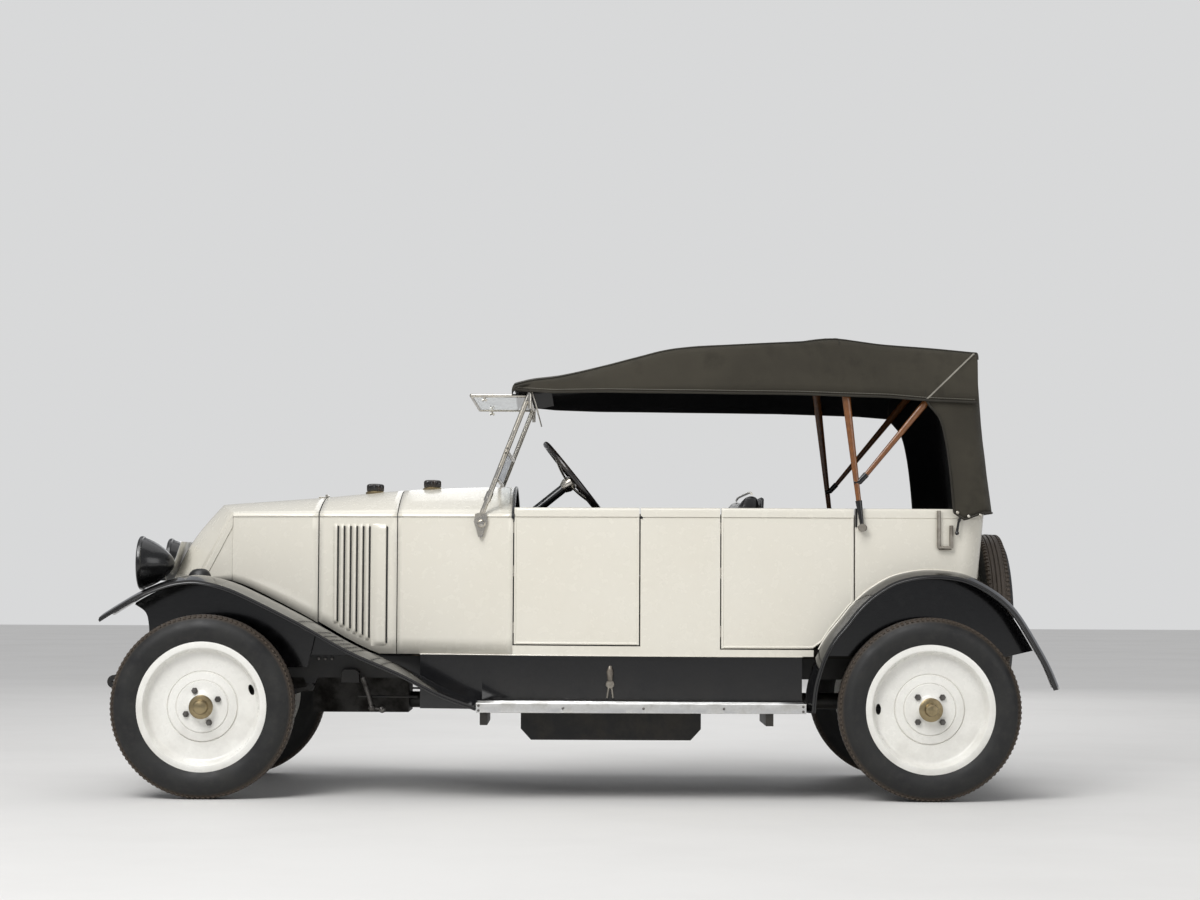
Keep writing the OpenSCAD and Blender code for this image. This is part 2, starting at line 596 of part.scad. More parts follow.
// Lowest path of the open bonnet's rear corner
function swing_z(x) = let (low = hinge.y - bonnet_low(bonnet_rear_x - bonnet_gap), away = min(low, hinge.x - x + 8))
    hinge.y - sqrt(low * low - max(0, away) * max(0, away)) - 15;
function catwalk_z(x) = min(swing_z(x), front_wing_z(x) - 4);
module front_wing() {
    front_part = [for (p = FRONT_WING) if (p.x <= -1060) [p.x, p.y - 60]];
    crown = [for (p = FRONT_WING) if (p.x <= -1060 && p.x > -1800) p];
    low = [[-1764, 731], [-1750, 672], [-1748, 600], [-1690, rail_top - 48], [-1103, rail_top - 48]];
    xs = [for (x = [-1090:-60:-1690]) x];
    walk = concat([for (x = xs) [x, catwalk_z(x)]], [for (k = [len(xs) - 1:-1:0]) [xs[k], catwalk_z(xs[k]) - catwalk_t]]);
    sheet([for (p = FRONT_WING) wing_ring(p, max(valance_y, belt_half(p.x) + 6), wing_y, [0, 1])], wing_t);
    side_plate(concat([for (p = crown) [p.x, p.y + wing_t / 2]], [[-1808, 764]], low), valance_y - valance_t, valance_y + 4);
    side_plate(walk, 236, valance_y - 1);
}
module front_wings() { color("#0e0e0e") both_sides() front_wing(); }

module rear_wing() {
    edge = [for (p = REAR_WING) p];
    low = [[978, sill_z + 2], [1725, sill_z + 2]];
    sheet([for (p = edge) wing_ring(p, house_y, wing_y, unit(p - [rear_x, wheel_z]))], wing_t);
    side_plate(concat([for (p = edge) if (p.y > sill_z + 2 && p.x < 1860) p + unit(p - [rear_x, wheel_z]) * wing_t / 2], low),
        house_y, house_y + 10);
}
module rear_wings() { color("#0e0e0e") both_sides() rear_wing(); }

module front_apron() {
    outline = [[-1718, 815], [-1706, 812], [rail_front_x + 6, rail_top + seat_gap], [rail_front_x - 6, rail_top + seat_gap]];
    half = valance_y - valance_t - 8;
    color("#0e0e0e") translate([0, half, 0]) side_plate(outline, 0, 2 * half);
}

board_front_x = -400;
board_rear_x = REAR_WING[len(REAR_WING) - 1].x - wing_crown - 1;
apron_in = 18;
apron_t = 6;
function board_inner(x) = belt_half(x) - apron_in;
module running_boards() {
    xs = [board_front_x, -263, 0, 250, 570, board_rear_x];
    color("#7d7f80") both_sides() {
        translate([0, 0, board_z - board_t]) linear_extrude(board_t)
            polygon(concat([for (x = xs) [x, -board_inner(x) - seat_gap]],
                [[board_rear_x, -wing_y + 2], [board_front_x, -wing_y + 2]]));
        for (x = [-385, 745])
            translate([x, -560, 300]) cube([30, 214, board_z - board_t - 300]);
    }
}
module side_aprons() {
    xs = [-640, -386, -263, 0, 250, 570, 900];
    color("#0e0e0e") both_sides() translate([0, 0, board_z - board_t]) linear_extrude(sill_z - board_z + board_t - seat_gap)
        polygon(concat([for (x = xs) [x, -board_inner(x)]],
            [for (k = [len(xs) - 1:-1:0]) [xs[k], -board_inner(xs[k]) + apron_t]]));
}

// ---------- windscreen ----------
screen_foot = [-386, 1151];
screen_head = [-204, 1620];
screen_y = 468;
pillar_r = 11;
screen_dir = unit([screen_head.x - screen_foot.x, screen_head.y - screen_foot.y]);
upper_pane_len = 232;
function on_screen(z) = screen_foot.x + (z - screen_foot.y) * screen_dir.x / screen_dir.y;
module windscreen_frame() {
    lower_top_z = screen_head.y - upper_pane_len * screen_dir.y;
    color("#a9a49a") {
        both_sides() {
            bar([screen_foot.x, -screen_y, screen_foot.y - 20], [screen_head.x, -screen_y, screen_head.y], pillar_r);
            side_plate([[-420, 1144], [-352, 1144], [-378, 1100], [-402, 1041], [-414, 1041]], 460, 472);
        }
        for (z = [lower_top_z - 8, screen_head.y])
            bar([on_screen(z), -screen_y, z], [on_screen(z), screen_y, z], 9);
        bar([on_screen(1284), -screen_y, 1284], [on_screen(1284), screen_y, 1284], 7);
        both_sides() bar([screen_head.x - 4, -screen_y + 20, screen_head.y], [screen_head.x - 236, -screen_y + 20, screen_head.y], 7);
        bar([screen_head.x - 236, -screen_y + 20, screen_head.y], [screen_head.x - 236, screen_y - 20, screen_head.y], 7);
    }
}
module windscreen_glass() {
    lower_top_z = screen_head.y - upper_pane_len * screen_dir.y;
    half = screen_y - pillar_r - 2;
    low = 1284 + 7.5;
    high = lower_top_z - 8 - 9.5;
    color("#c8d4d4", 0.35) {
        translate([0, half, 0]) side_plate([[on_screen(low) - 3, low], [on_screen(low) + 3, low],
            [on_screen(high) + 3, high], [on_screen(high) - 3, high]], 0, 2 * half);
        translate([screen_head.x - 228, -screen_y + 27 + seat_gap, screen_head.y - 3])
            cube([218, 2 * (screen_y - 27 - seat_gap), 6]);
    }
}

// ---------- canvas top ----------
function top_half_at(x) = x < 92 ? mix(470, top_half, max(0, (x + 262) / 354)) : top_half;
function top_ring(p) = let (w = top_half_at(p.x), v = lookup(p.x, VALANCE))
    mirrored(concat([[p.x, -w - 6, v], [p.x, -w - 3, mix(v, p.y, 0.5)], [p.x, -w, p.y - 26], [p.x, -w + 9, p.y - 7], [p.x, -w + 30, p.y]],
        [for (f = [0.75, 0.5, 0.25]) [p.x, -w * f, p.y + top_camber * (1 - f * f)]], [[p.x, 0, p.y + top_camber]]));
quarter = [[1396, 1600], [1448, 1531], [1474, 1436], [1491, 1314], [1504, belt_z + seat_gap], [1655, belt_z + seat_gap], [1612, 1436], [1590, 1640],
    [1586, 1780], [1500, 1780], [1400, 1700]];
header_half = 452;
module canvas_top() {
    curtain = [[1580, 1800], [1596, 1800], [1612, 1670], [1628, 1436], [1664, belt_z + seat_gap], [1640, belt_z + seat_gap], [1616, 1436], [1602, 1660]];
    seat_z = screen_head.y + 9 + seat_gap;
    header = [[-272, 1652], [-244, seat_z], [-160, seat_z], [-100, 1640], [-140, 1668], [-250, 1668]];
    color("#4a463a") {
        translate([0, header_half, 0]) side_plate(header, 0, 2 * header_half);
        sheet([for (p = TOP_LINE) top_ring(p)], canvas_t);
        both_sides() side_plate(quarter, top_half - canvas_t, top_half);
        translate([0, top_half - 1, 0]) side_plate(curtain, 0, 2 * top_half - 2);
    }
}

bow_r = 14;
pivot = [1138, 1087];
pivot_r = 16;
// Each bow's ends in the side view, below and above
front_bow = [[1137, pivot.y + pivot_r + 1.2], [1054, 1800]];
rear_bow = [[1172, 1318], [1545, 1752]];
bow_low_y = 592;
bow_high_y = 564;
function under_top(x) = lookup(x, [for (k = [len(TOP_LINE) - 1:-1:0]) TOP_LINE[k]]) - canvas_t - 6;
module bow(ends, low_y) {
    high_z = under_top(ends[1].x) - bow_r;
    both_sides() bar([ends[0].x, -low_y, ends[0].y], [ends[1].x, -bow_high_y, high_z], bow_r);
    bar([ends[1].x, -bow_high_y, high_z], [ends[1].x, bow_high_y, high_z], bow_r - 3);
}
module top_bows() {
    color("#9a5a28") {
        bow(front_bow, bow_low_y);
        bow(rear_bow, bow_low_y - 12);
    }
}
module top_irons() {
    rest_y = belt_half(1440) + 9.6;
    color("#141414") both_sides() {
        translate([pivot.x, -belt_half(pivot.x) - seat_gap, pivot.y]) rotate([90, 0, 0]) cylinder(h = 34, r = pivot_r);
        bar([1448, -rest_y, 1158], [1448, -rest_y, 1008], 8);
        bar([1448, -rest_y, 1008], [1498, -rest_y, 1008], 8);
        bar([1498, -rest_y, 1008], [1498, -rest_y, 1098], 8);
    }
}

// ---------- lamps and small parts ----------
lamp_x = -1786;
lamp_z = 933;
lamp_y = 360;
lamp_r = 107;
lamp_bowl = 14;
post_x = -1700;
post_r = 14;
cap_r = 36;
module headlamps() {
    color("#101010") both_sides() {
        translate([lamp_x, -lamp_y, lamp_z]) rotate([0, 90, 0]) rotate_extrude()
            polygon(concat([[0, lamp_bowl], [lamp_r - 14, lamp_bowl], [lamp_r - 8, 0], [lamp_r, 0], [lamp_r, 22]],
                [for (a = [15:15:90]) [(lamp_r - 4) * cos(a), 22 + 122 * sin(a)]]));
        post_z = front_wing_z(post_x + post_r) + wing_crown * sin(180 * crown_hold) + seat_gap;
        translate([post_x, -lamp_y, post_z]) cylinder(h = lamp_z - lamp_r + 20 - post_z, r = post_r);
    }
}
module lamp_glass() {
    color("#c8d4d4", 0.35) both_sides() translate([lamp_x + 1, -lamp_y, lamp_z]) rotate([0, 90, 0])
        cylinder(h = lamp_bowl - 1 - seat_gap, r = lamp_r - 16);
}
module filler_caps() {
    color("#3a3836") {
        for (x = [-861, -619])
            translate([x, 0, ridge_z(x + cap_r) + seat_gap]) cylinder(h = 38, r = cap_r);
    }
}

chassis_frame();
front_axle();
rear_axle();
springs();
engine_block();
underfloor_box();
bonnet();
nose_plate();
radiator_cowl();
scuttle();
tub();
floor();
dashboard();
front_left_door();
front_right_door();
rear_left_door();
rear_right_door();
front_seat();
rear_seat();
steering_column();
steering_wheel();
windscreen_frame();
windscreen_glass();
canvas_top();
top_bows();
top_irons();
front_wings();
rear_wings();
front_apron();
running_boards();
side_aprons();
headlamps();
lamp_glass();
filler_caps();
front_left_wheel();
front_right_wheel();
rear_left_wheel();
rear_right_wheel();
front_left_tyre();
front_right_tyre();
rear_left_tyre();
rear_right_tyre();
left_knuckle();
right_knuckle();
tie_rod();
spare_wheel();
spare_tyre();
spare_carrier();
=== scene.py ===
import math
import bmesh
import bpy
from mathutils import Matrix, Vector


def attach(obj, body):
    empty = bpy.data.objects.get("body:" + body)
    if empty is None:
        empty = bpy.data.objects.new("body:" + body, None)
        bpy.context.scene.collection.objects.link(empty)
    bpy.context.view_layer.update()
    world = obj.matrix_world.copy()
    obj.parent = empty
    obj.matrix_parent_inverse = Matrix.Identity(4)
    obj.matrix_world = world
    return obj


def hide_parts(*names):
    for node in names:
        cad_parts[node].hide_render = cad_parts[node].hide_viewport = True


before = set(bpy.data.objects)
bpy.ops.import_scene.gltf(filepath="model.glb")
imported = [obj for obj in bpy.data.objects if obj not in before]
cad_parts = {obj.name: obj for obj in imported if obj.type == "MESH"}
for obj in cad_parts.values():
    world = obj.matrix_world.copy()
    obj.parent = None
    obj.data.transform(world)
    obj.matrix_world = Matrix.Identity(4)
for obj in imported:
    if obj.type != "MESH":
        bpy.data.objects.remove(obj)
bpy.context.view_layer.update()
scene = bpy.context.scene
print("frame loaded:", len(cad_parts), "nodes")


# ---- small sums and lines ----
def mix(a, b, t):
    return a + (b - a) * t


def spread(first, last, count):   # count + 1 values from first to last
    return [mix(first, last, k / count) for k in range(count + 1)]


def follow(table, x):   # smooth value at x in a rising table of [x, value]
    last = len(table) - 1
    x = min(max(x, table[0][0]), table[last][0])
    i = max(k for k in range(last) if table[k][0] <= x or k == 0)

    def slope(k):
        a, b = table[max(k - 1, 0)], table[min(k + 1, last)]
        return (b[1] - a[1]) / (b[0] - a[0])
    h = table[i + 1][0] - table[i][0]
    t = (x - table[i][0]) / h
    return ((2 * t ** 3 - 3 * t ** 2 + 1) * table[i][1] + (t ** 3 - 2 * t ** 2 + t) * h * slope(i)
            + (3 * t ** 2 - 2 * t ** 3) * table[i + 1][1] + (t ** 3 - t ** 2) * h * slope(i + 1))


def curveThrough(points, steps):   # a smooth line through all the points
    points = [Vector(p) for p in points]
    line = []
    for i in range(len(points) - 1):
        a, b = points[max(i - 1, 0)], points[i]
        c, d = points[i + 1], points[min(i + 2, len(points) - 1)]
        for k in range(steps):
            t = k / steps
            line.append(0.5 * (2 * b + (c - a) * t + (2 * a - 5 * b + 4 * c - d) * t ** 2
                               + (3 * b - a - 3 * c + d) * t ** 3))
    return line + [points[-1]]


def mirrorY(points):
    return [Vector((p[0], -p[1], p[2])) for p in points]


# ---- shapes gathered face by face ----
def newShape():
    return {"verts": [], "faces": [], "mats": [], "pattern": []}


def addGrid(shape, rows, mat=0, pattern=None, closed=False, flip=False):   # rows of points joined by quads
    start, cols = len(shape["verts"]), len(rows[0])
    for i, row in enumerate(rows):
        shape["verts"] += [tuple(p) for p in row]
        shape["pattern"] += pattern[i] if pattern else [(0, 0, 0)] * cols
    for i in range(len(rows) - 1):
        for j in range(cols if closed else cols - 1):
            a, b = start + i * cols + j, start + i * cols + (j + 1) % cols
            face = (a, a + cols, b + cols, b)
            shape["faces"].append(face[::-1] if flip else face)
            shape["mats"].append(mat)
    return start


def addFan(shape, ring, centre, mat=0):   # closes a ring of vertex numbers round one point
    shape["verts"].append(tuple(centre))
    shape["pattern"].append((0, 0, 0))
    tip = len(shape["verts"]) - 1
    for k in range(len(ring)):
        shape["faces"].append((ring[k], ring[(k + 1) % len(ring)], tip))
        shape["mats"].append(mat)


def addShell(shape, outer, inner, mats=(0, 1, 0)):   # closed wall between two grids with the same rows and columns
    rows, cols = len(outer), len(outer[0])
    a = addGrid(shape, outer, mats[0])
    b = addGrid(shape, inner, mats[1], flip=True)
    edge = ([(i, 0) for i in range(rows)] + [(rows - 1, j) for j in range(1, cols)]
            + [(i, cols - 1) for i in range(rows - 2, -1, -1)] + [(0, j) for j in range(cols - 2, 0, -1)])
    for k, (i, j) in enumerate(edge):
        p, q = edge[(k + 1) % len(edge)]
        shape["faces"].append((a + i * cols + j, b + i * cols + j, b + p * cols + q, a + p * cols + q))
        shape["mats"].append(mats[2])


def addTube(shape, line, radius, sides=12, mat=0, flat=1.0, up=(0, 0, 1), loop=False):
    line = [Vector(p) for p in line]
    radii = radius if isinstance(radius, (list, tuple)) else [radius] * len(line)
    rows, run = [], 0.0
    pattern = []
    for i, p in enumerate(line):
        before = line[i - 1] if i or loop else p
        after = line[(i + 1) % len(line)] if i < len(line) - 1 or loop else p
        ahead = (after - before).normalized()
        side = ahead.cross(Vector(up))
        side = side.normalized() if side.length > 1e-4 else ahead.orthogonal().normalized()
        high = side.cross(ahead).normalized()
        run += (p - before).length if i else 0
        turns = [2 * math.pi * k / sides for k in range(sides)]
        rows.append([p + side * math.cos(t) * radii[i] + high * math.sin(t) * radii[i] * flat for t in turns])
        pattern.append([(t * radii[i], run, radii[i]) for t in turns])
    if loop:
        rows.append(rows[0])
        pattern.append(pattern[0])
    start = addGrid(shape, rows, mat, pattern, closed=True)
    if not loop:
        addFan(shape, list(range(start, start + sides)), line[0], mat)
        end = start + (len(line) - 1) * sides
        addFan(shape, list(range(end + sides - 1, end - 1, -1)), line[-1], mat)


def addTurned(shape, profile, centre=(0, 0, 0), axis="Y", sides=64, mat=0, closed=True):
    # profile: [radius, distance along the axis]; closed joins its last point to its first
    loop = list(profile) + ([profile[0]] if closed else [])
    place = {"Y": lambda r, h, t: (r * math.cos(t), h, r * math.sin(t)),
             "X": lambda r, h, t: (h, r * math.cos(t), r * math.sin(t)),
             "Z": lambda r, h, t: (r * math.cos(t), r * math.sin(t), h)}[axis]
    turns = [2 * math.pi * k / sides for k in range(sides)]
    rows = [[Vector(centre) + Vector(place(r, h, t)) for t in turns] for r, h in loop]
    addGrid(shape, rows, mat, [[(t, r, h) for t in turns] for r, h in loop], closed=True)


def addPrism(shape, outline, low, high, axis="Y", mat=0):   # outline swept between two distances along an axis
    place = {"Y": lambda p, h: (p[0], h, p[1]), "X": lambda p, h: (h, p[0], p[1]), "Z": lambda p, h: (p[0], p[1], h)}[axis]
    start, count = len(shape["verts"]), len(outline)
    for h in (low, high):
        shape["verts"] += [place(p, h) for p in outline]
        shape["pattern"] += [(0, 0, 0)] * count
    ring = list(range(start, start + count))
    shape["faces"] += [tuple(ring), tuple(k + count for k in reversed(ring))]
    shape["faces"] += [(ring[k], start + (k + 1) % count, start + (k + 1) % count + count, ring[k] + count)
                       for k in range(count)]
    shape["mats"] += [mat] * (count + 2)


def addBox(shape, low, high, mat=0):
    addPrism(shape, [(low[0], low[1]), (high[0], low[1]), (high[0], high[1]), (low[0], high[1])], low[2], high[2], "Z", mat)


def toMesh(shape, name):
    mesh = bpy.data.meshes.new(name)
    mesh.from_pydata(shape["verts"], [], shape["faces"])
    mesh.polygons.foreach_set("material_index", shape["mats"])
    spots = mesh.attributes.new("pattern", "FLOAT_VECTOR", "POINT")
    spots.data.foreach_set("vector", [c for p in shape["pattern"] for c in p])
    work = bmesh.new()
    work.from_mesh(mesh)
    bmesh.ops.remove_doubles(work, verts=work.verts, dist=1e-6)
    bmesh.ops.dissolve_degenerate(work, edges=work.edges, dist=1e-7)
    if all(edge.is_manifold for edge in work.edges):
        bmesh.ops.recalc_face_normals(work, faces=work.faces)
    work.to_mesh(mesh)
    work.free()
    return mesh


def showMesh(mesh, name, materials, angle=38):
    obj = bpy.data.objects.new(name, mesh)
    scene.collection.objects.link(obj)
    for material in materials:
        mesh.materials.append(material)
    mesh.shade_smooth()
    mesh.set_sharp_from_angle(angle=math.radians(angle))
    return obj


def place(obj, body, slot, nodes=()):   # attaches a finished piece to its body and hides the CAD nodes it stands for; the slot for its finish is not used
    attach(obj, body)
    if nodes:
        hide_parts(*nodes)
    return obj


def piece(shape, name, materials, body, slot, nodes=(), bevel=0.0, thick=0.0, angle=38):
    obj = showMesh(toMesh(shape, name), name, materials, angle)
    if thick:
        wall = obj.modifiers.new("wall", "SOLIDIFY")
        wall.thickness, wall.offset = thick, -1
        wall.material_offset = 1 if len(materials) > 1 else 0
    if bevel:
        round_ = obj.modifiers.new("edges", "BEVEL")
        round_.width, round_.segments, round_.limit_method = bevel, 2, "ANGLE"
        round_.angle_limit = math.radians(40)
        round_.harden_normals = False
    return place(obj, body, slot, nodes)


# ---- shader groups that the finishes share ----
def addNode(tree, kind, settings=None, **inputs):
    node = tree.nodes.new(kind)
    for key, value in (settings or {}).items():
        setattr(node, key, value)
    for key, value in inputs.items():
        socket = node.inputs[int(key[1:])] if key[0] == "i" and key[1:].isdigit() else node.inputs[key.replace("_", " ")]
        if isinstance(value, bpy.types.NodeSocket):
            tree.links.new(value, socket)
        else:
            socket.default_value = value
    return node


def blendColour(tree, factor, a, b, mode="MIX"):
    return addNode(tree, "ShaderNodeMix", {"data_type": "RGBA", "blend_type": mode}, i0=factor, i6=a, i7=b).outputs[2]


def calc(tree, operation, a, b=0.0, clamp=False):
    return addNode(tree, "ShaderNodeMath", {"operation": operation, "use_clamp": clamp}, i0=a, i1=b).outputs[0]


def ramp(tree, value, low, high, first=0.0, last=1.0):   # smooth step of a value
    return addNode(tree, "ShaderNodeMapRange", {"interpolation_type": "SMOOTHSTEP"}, Value=value, From_Min=low,
                   From_Max=high, To_Min=first, To_Max=last).outputs[0]


def noiseOf(tree, vector, scale, detail=3.0, rough=0.55):
    return addNode(tree, "ShaderNodeTexNoise", None, Vector=vector, Scale=scale, Detail=detail, Roughness=rough).outputs[0]


def makeGroup(name, inputs, outputs, build):
    group = bpy.data.node_groups.new(name, "ShaderNodeTree")
    for label, kind, value in inputs:
        socket = group.interface.new_socket(label, in_out="INPUT", socket_type=kind)
        if value is not None:
            socket.default_value = value
    for label, kind in outputs:
        group.interface.new_socket(label, in_out="OUTPUT", socket_type=kind)
    start, end = group.nodes.new("NodeGroupInput"), group.nodes.new("NodeGroupOutput")
    for label, socket in build(group, start.outputs).items():
        group.links.new(socket, end.inputs[label])
    return group


number, vector3, colour4 = "NodeSocketFloat", "NodeSocketVector", "NodeSocketColor"


def buildPatches(tree, given):   # cloudy mask between two levels
    cloud = noiseOf(tree, given["Vector"], given["Scale"], 4.0, 0.6)
    return {"Mask": ramp(tree, cloud, given["From"], given["To"])}


def buildDust(tree, given):   # mask that thickens towards the ground, broken up by noise
    height = addNode(tree, "ShaderNodeSeparateXYZ", None, Vector=given["Vector"]).outputs[2]
    fall = ramp(tree, height, given["Bottom"], given["Top"], 1.0, 0.0)
    cloud = noiseOf(tree, given["Vector"], 9.0, 6.0, 0.65)
    return {"Mask": calc(tree, "MULTIPLY", fall, ramp(tree, cloud, 0.35, 0.7), True)}


def buildChips(tree, given):   # small sharp flecks where paint has come off
    wobble = noiseOf(tree, given["Vector"], given["Scale"], 5.0, 0.7)
    area = noiseOf(tree, given["Vector"], 2.3, 1.0, 0.5)
    level = calc(tree, "SUBTRACT", wobble, ramp(tree, area, 0.4, 0.75, 0.12, 0.0))
    return {"Mask": ramp(tree, level, given["Level"], calc(tree, "ADD", given["Level"], 0.012))}


def buildRipple(tree, given):   # fine unevenness of a surface, as a normal
    height = noiseOf(tree, given["Vector"], given["Scale"], 3.0, 0.5)
    bump = addNode(tree, "ShaderNodeBump", None, Strength=given["Strength"], Distance=given["Depth"], Height=height)
    return {"Normal": bump.outputs[0]}


def buildWeave(tree, given):   # plain weave from two crossing thread waves
    parts = addNode(tree, "ShaderNodeSeparateXYZ", None, Vector=given["Vector"]).outputs
    wobble = noiseOf(tree, given["Vector"], 60.0, 2.0)
    waves = []
    for axis in (0, 1):
        along = calc(tree, "ADD", parts[axis], calc(tree, "MULTIPLY", wobble, 0.0012))
        waves.append(calc(tree, "SINE", calc(tree, "MULTIPLY", along, given["Threads"])))
    over = calc(tree, "MULTIPLY", waves[0], waves[1])
    height = calc(tree, "ADD", calc(tree, "MULTIPLY", over, 0.5), 0.5)
    slub = noiseOf(tree, addNode(tree, "ShaderNodeMapping", None, Vector=given["Vector"], Scale=(7, 160, 7)).outputs[0], 3.0)
    return {"Height": height, "Slub": slub}


def buildGrain(tree, given):   # long wood fibres
    long = addNode(tree, "ShaderNodeMapping", None, Vector=given["Vector"], Scale=given["Stretch"]).outputs[0]
    fibre = noiseOf(tree, long, 22.0, 6.0, 0.6)
    rings = addNode(tree, "ShaderNodeTexWave", {"wave_type": "RINGS"}, Vector=long, Scale=3.0, Distortion=5.0,
                    Detail=3.0).outputs[1]
    return {"Fibre": fibre, "Rings": rings}


def buildHide(tree, given):   # pebbled leather
    cells = addNode(tree, "ShaderNodeTexVoronoi", {"feature": "DISTANCE_TO_EDGE"}, Vector=given["Vector"],
                    Scale=given["Scale"]).outputs[0]
    pebble = ramp(tree, cells, 0.0, 0.35)
    folds = noiseOf(tree, given["Vector"], 24.0, 4.0)
    height = calc(tree, "ADD", calc(tree, "MULTIPLY", pebble, 0.35), folds)
    bump = addNode(tree, "ShaderNodeBump", None, Strength=given["Strength"], Distance=0.0008, Height=height)
    return {"Normal": bump.outputs[0], "Height": pebble}


at = [("Vector", vector3, None)]
patches = makeGroup("patches", at + [("Scale", number, 3.0), ("From", number, 0.4), ("To", number, 0.7)],
                    [("Mask", number)], buildPatches)
dust = makeGroup("dustLow", at + [("Bottom", number, 0.2), ("Top", number, 0.9)], [("Mask", number)], buildDust)
chips = makeGroup("paintChips", at + [("Scale", number, 60.0), ("Level", number, 0.72)], [("Mask", number)], buildChips)
ripple = makeGroup("ripple", at + [("Scale", number, 90.0), ("Strength", number, 0.1), ("Depth", number, 0.001)],
                   [("Normal", vector3)], buildRipple)
weave = makeGroup("weave", at + [("Threads", number, 4200.0)], [("Height", number), ("Slub", number)], buildWeave)
grain = makeGroup("woodGrain", at + [("Stretch", vector3, (1, 1, 1))], [("Fibre", number), ("Rings", number)], buildGrain)
hide = makeGroup("hide", at + [("Scale", number, 420.0), ("Strength", number, 0.5)],
                 [("Normal", vector3), ("Height", number)], buildHide)


def useGroup(tree, group, **inputs):
    node = addNode(tree, "ShaderNodeGroup", {"node_tree": group})
    for key, value in inputs.items():
        socket = node.inputs[key]
        if isinstance(value, bpy.types.NodeSocket):
            tree.links.new(value, socket)
        else:
            socket.default_value = value
    return node.outputs


def startFinish(name, fixed):   # a material, its tree, shader and the piece's own coordinates
    material = bpy.data.materials.new(name)
    material.use_nodes = True
    tree = material.node_tree
    shader = tree.nodes["Principled BSDF"]
    for key, value in fixed.items():
        shader.inputs[key].default_value = value
    spot = tree.nodes.new("ShaderNodeTexCoord").outputs["Object"]
    return material, tree, shader, spot


def ownPattern(tree):
    return addNode(tree, "ShaderNodeAttribute", {"attribute_name": "pattern"}).outputs["Vector"]


def rgb(r, g, b):
    return (r, g, b, 1.0)


def paintFinish(name, base, aged, rough, coat=0.0, dirt=rgb(0.16, 0.13, 0.09), dirtTop=0.75, dirtLevel=0.5,
                bare=rgb(0.09, 0.035, 0.018), chipLevel=0.78, chipScale=60.0, bump=0.05):
    material, tree, shader, spot = startFinish(name, {"Coat Weight": coat, "Coat Roughness": 0.06, "Coat IOR": 1.5})
    cloud = useGroup(tree, patches, Vector=spot, Scale=2.2, From=0.3, To=0.75)["Mask"]
    fine = useGroup(tree, patches, Vector=spot, Scale=26.0, From=0.45, To=0.8)["Mask"]
    low = useGroup(tree, dust, Vector=spot, Bottom=0.25, Top=dirtTop)["Mask"]
    fleck = useGroup(tree, chips, Vector=spot, Scale=chipScale, Level=chipLevel)["Mask"]
    colour = blendColour(tree, calc(tree, "MULTIPLY", cloud, 0.35), base, aged)
    colour = blendColour(tree, calc(tree, "MULTIPLY", low, dirtLevel), colour, dirt)
    colour = blendColour(tree, fleck, colour, bare)
    tree.links.new(colour, shader.inputs["Base Color"])
    shine = calc(tree, "ADD", calc(tree, "MULTIPLY", fine, 0.1), rough)
    shine = calc(tree, "ADD", shine, calc(tree, "MULTIPLY", low, 0.35 * dirtLevel))
    shine = calc(tree, "ADD", shine, calc(tree, "MULTIPLY", fleck, 0.4), True)
    tree.links.new(shine, shader.inputs["Roughness"])
    tree.links.new(useGroup(tree, ripple, Vector=spot, Scale=70.0, Strength=bump, Depth=0.0015)["Normal"],
                   shader.inputs["Normal"])
    return material


def metalFinish(name, bright, dull, rough, spread_=0.25, scratch=0.12, amount=0.7):
    material, tree, shader, spot = startFinish(name, {"Metallic": 1.0})
    cloud = useGroup(tree, patches, Vector=spot, Scale=14.0, From=0.35, To=0.72)["Mask"]
    fine = useGroup(tree, patches, Vector=spot, Scale=120.0, From=0.4, To=0.7)["Mask"]
    tree.links.new(blendColour(tree, calc(tree, "MULTIPLY", cloud, amount), bright, dull), shader.inputs["Base Color"])
    shine = calc(tree, "ADD", calc(tree, "MULTIPLY", cloud, spread_), rough)
    shine = calc(tree, "ADD", shine, calc(tree, "MULTIPLY", fine, 0.08), True)
    tree.links.new(shine, shader.inputs["Roughness"])
    tree.links.new(useGroup(tree, ripple, Vector=spot, Scale=260.0, Strength=scratch, Depth=0.0006)["Normal"],
                   shader.inputs["Normal"])
    return material


creamPaint = paintFinish("creamPaint", rgb(0.73, 0.70, 0.615), rgb(0.69, 0.65, 0.55), 0.24, coat=0.35,
                         dirtTop=0.72, dirtLevel=0.22, chipLevel=0.83, bump=0.03)
wheelWhite = paintFinish("wheelWhite", rgb(0.80, 0.79, 0.745), rgb(0.73, 0.71, 0.64), 0.26, coat=0.3,
                         dirtTop=0.6, dirtLevel=0.18, chipLevel=0.80, bare=rgb(0.04, 0.03, 0.025), bump=0.04)
wingBlack = paintFinish("wingBlack", rgb(0.0035, 0.0035, 0.004), rgb(0.006, 0.006, 0.007), 0.12, coat=0.35,
                        dirtTop=0.62, dirtLevel=0.05, chipLevel=0.86, bare=rgb(0.1, 0.05, 0.03), bump=0.03)
chassisBlack = paintFinish("chassisBlack", rgb(0.006, 0.006, 0.006), rgb(0.014, 0.013, 0.012), 0.42, coat=0.0,
                           dirtTop=0.65, dirtLevel=0.18, chipLevel=0.80, bump=0.18)
ironBlack = paintFinish("ironBlack", rgb(0.005, 0.005, 0.005), rgb(0.012, 0.012, 0.012), 0.24, coat=0.3,
                        dirtTop=0.5, dirtLevel=0.2, chipLevel=0.79, bare=rgb(0.14, 0.12, 0.1), bump=0.12)
nickel = metalFinish("nickel", rgb(0.66, 0.63, 0.57), rgb(0.36, 0.32, 0.25), 0.16)
brassOld = metalFinish("brassOld", rgb(0.36, 0.29, 0.17), rgb(0.12, 0.09, 0.05), 0.28, amount=0.9)
steelDark = metalFinish("steelDark", rgb(0.20, 0.19, 0.18), rgb(0.06, 0.055, 0.05), 0.35, amount=0.9)
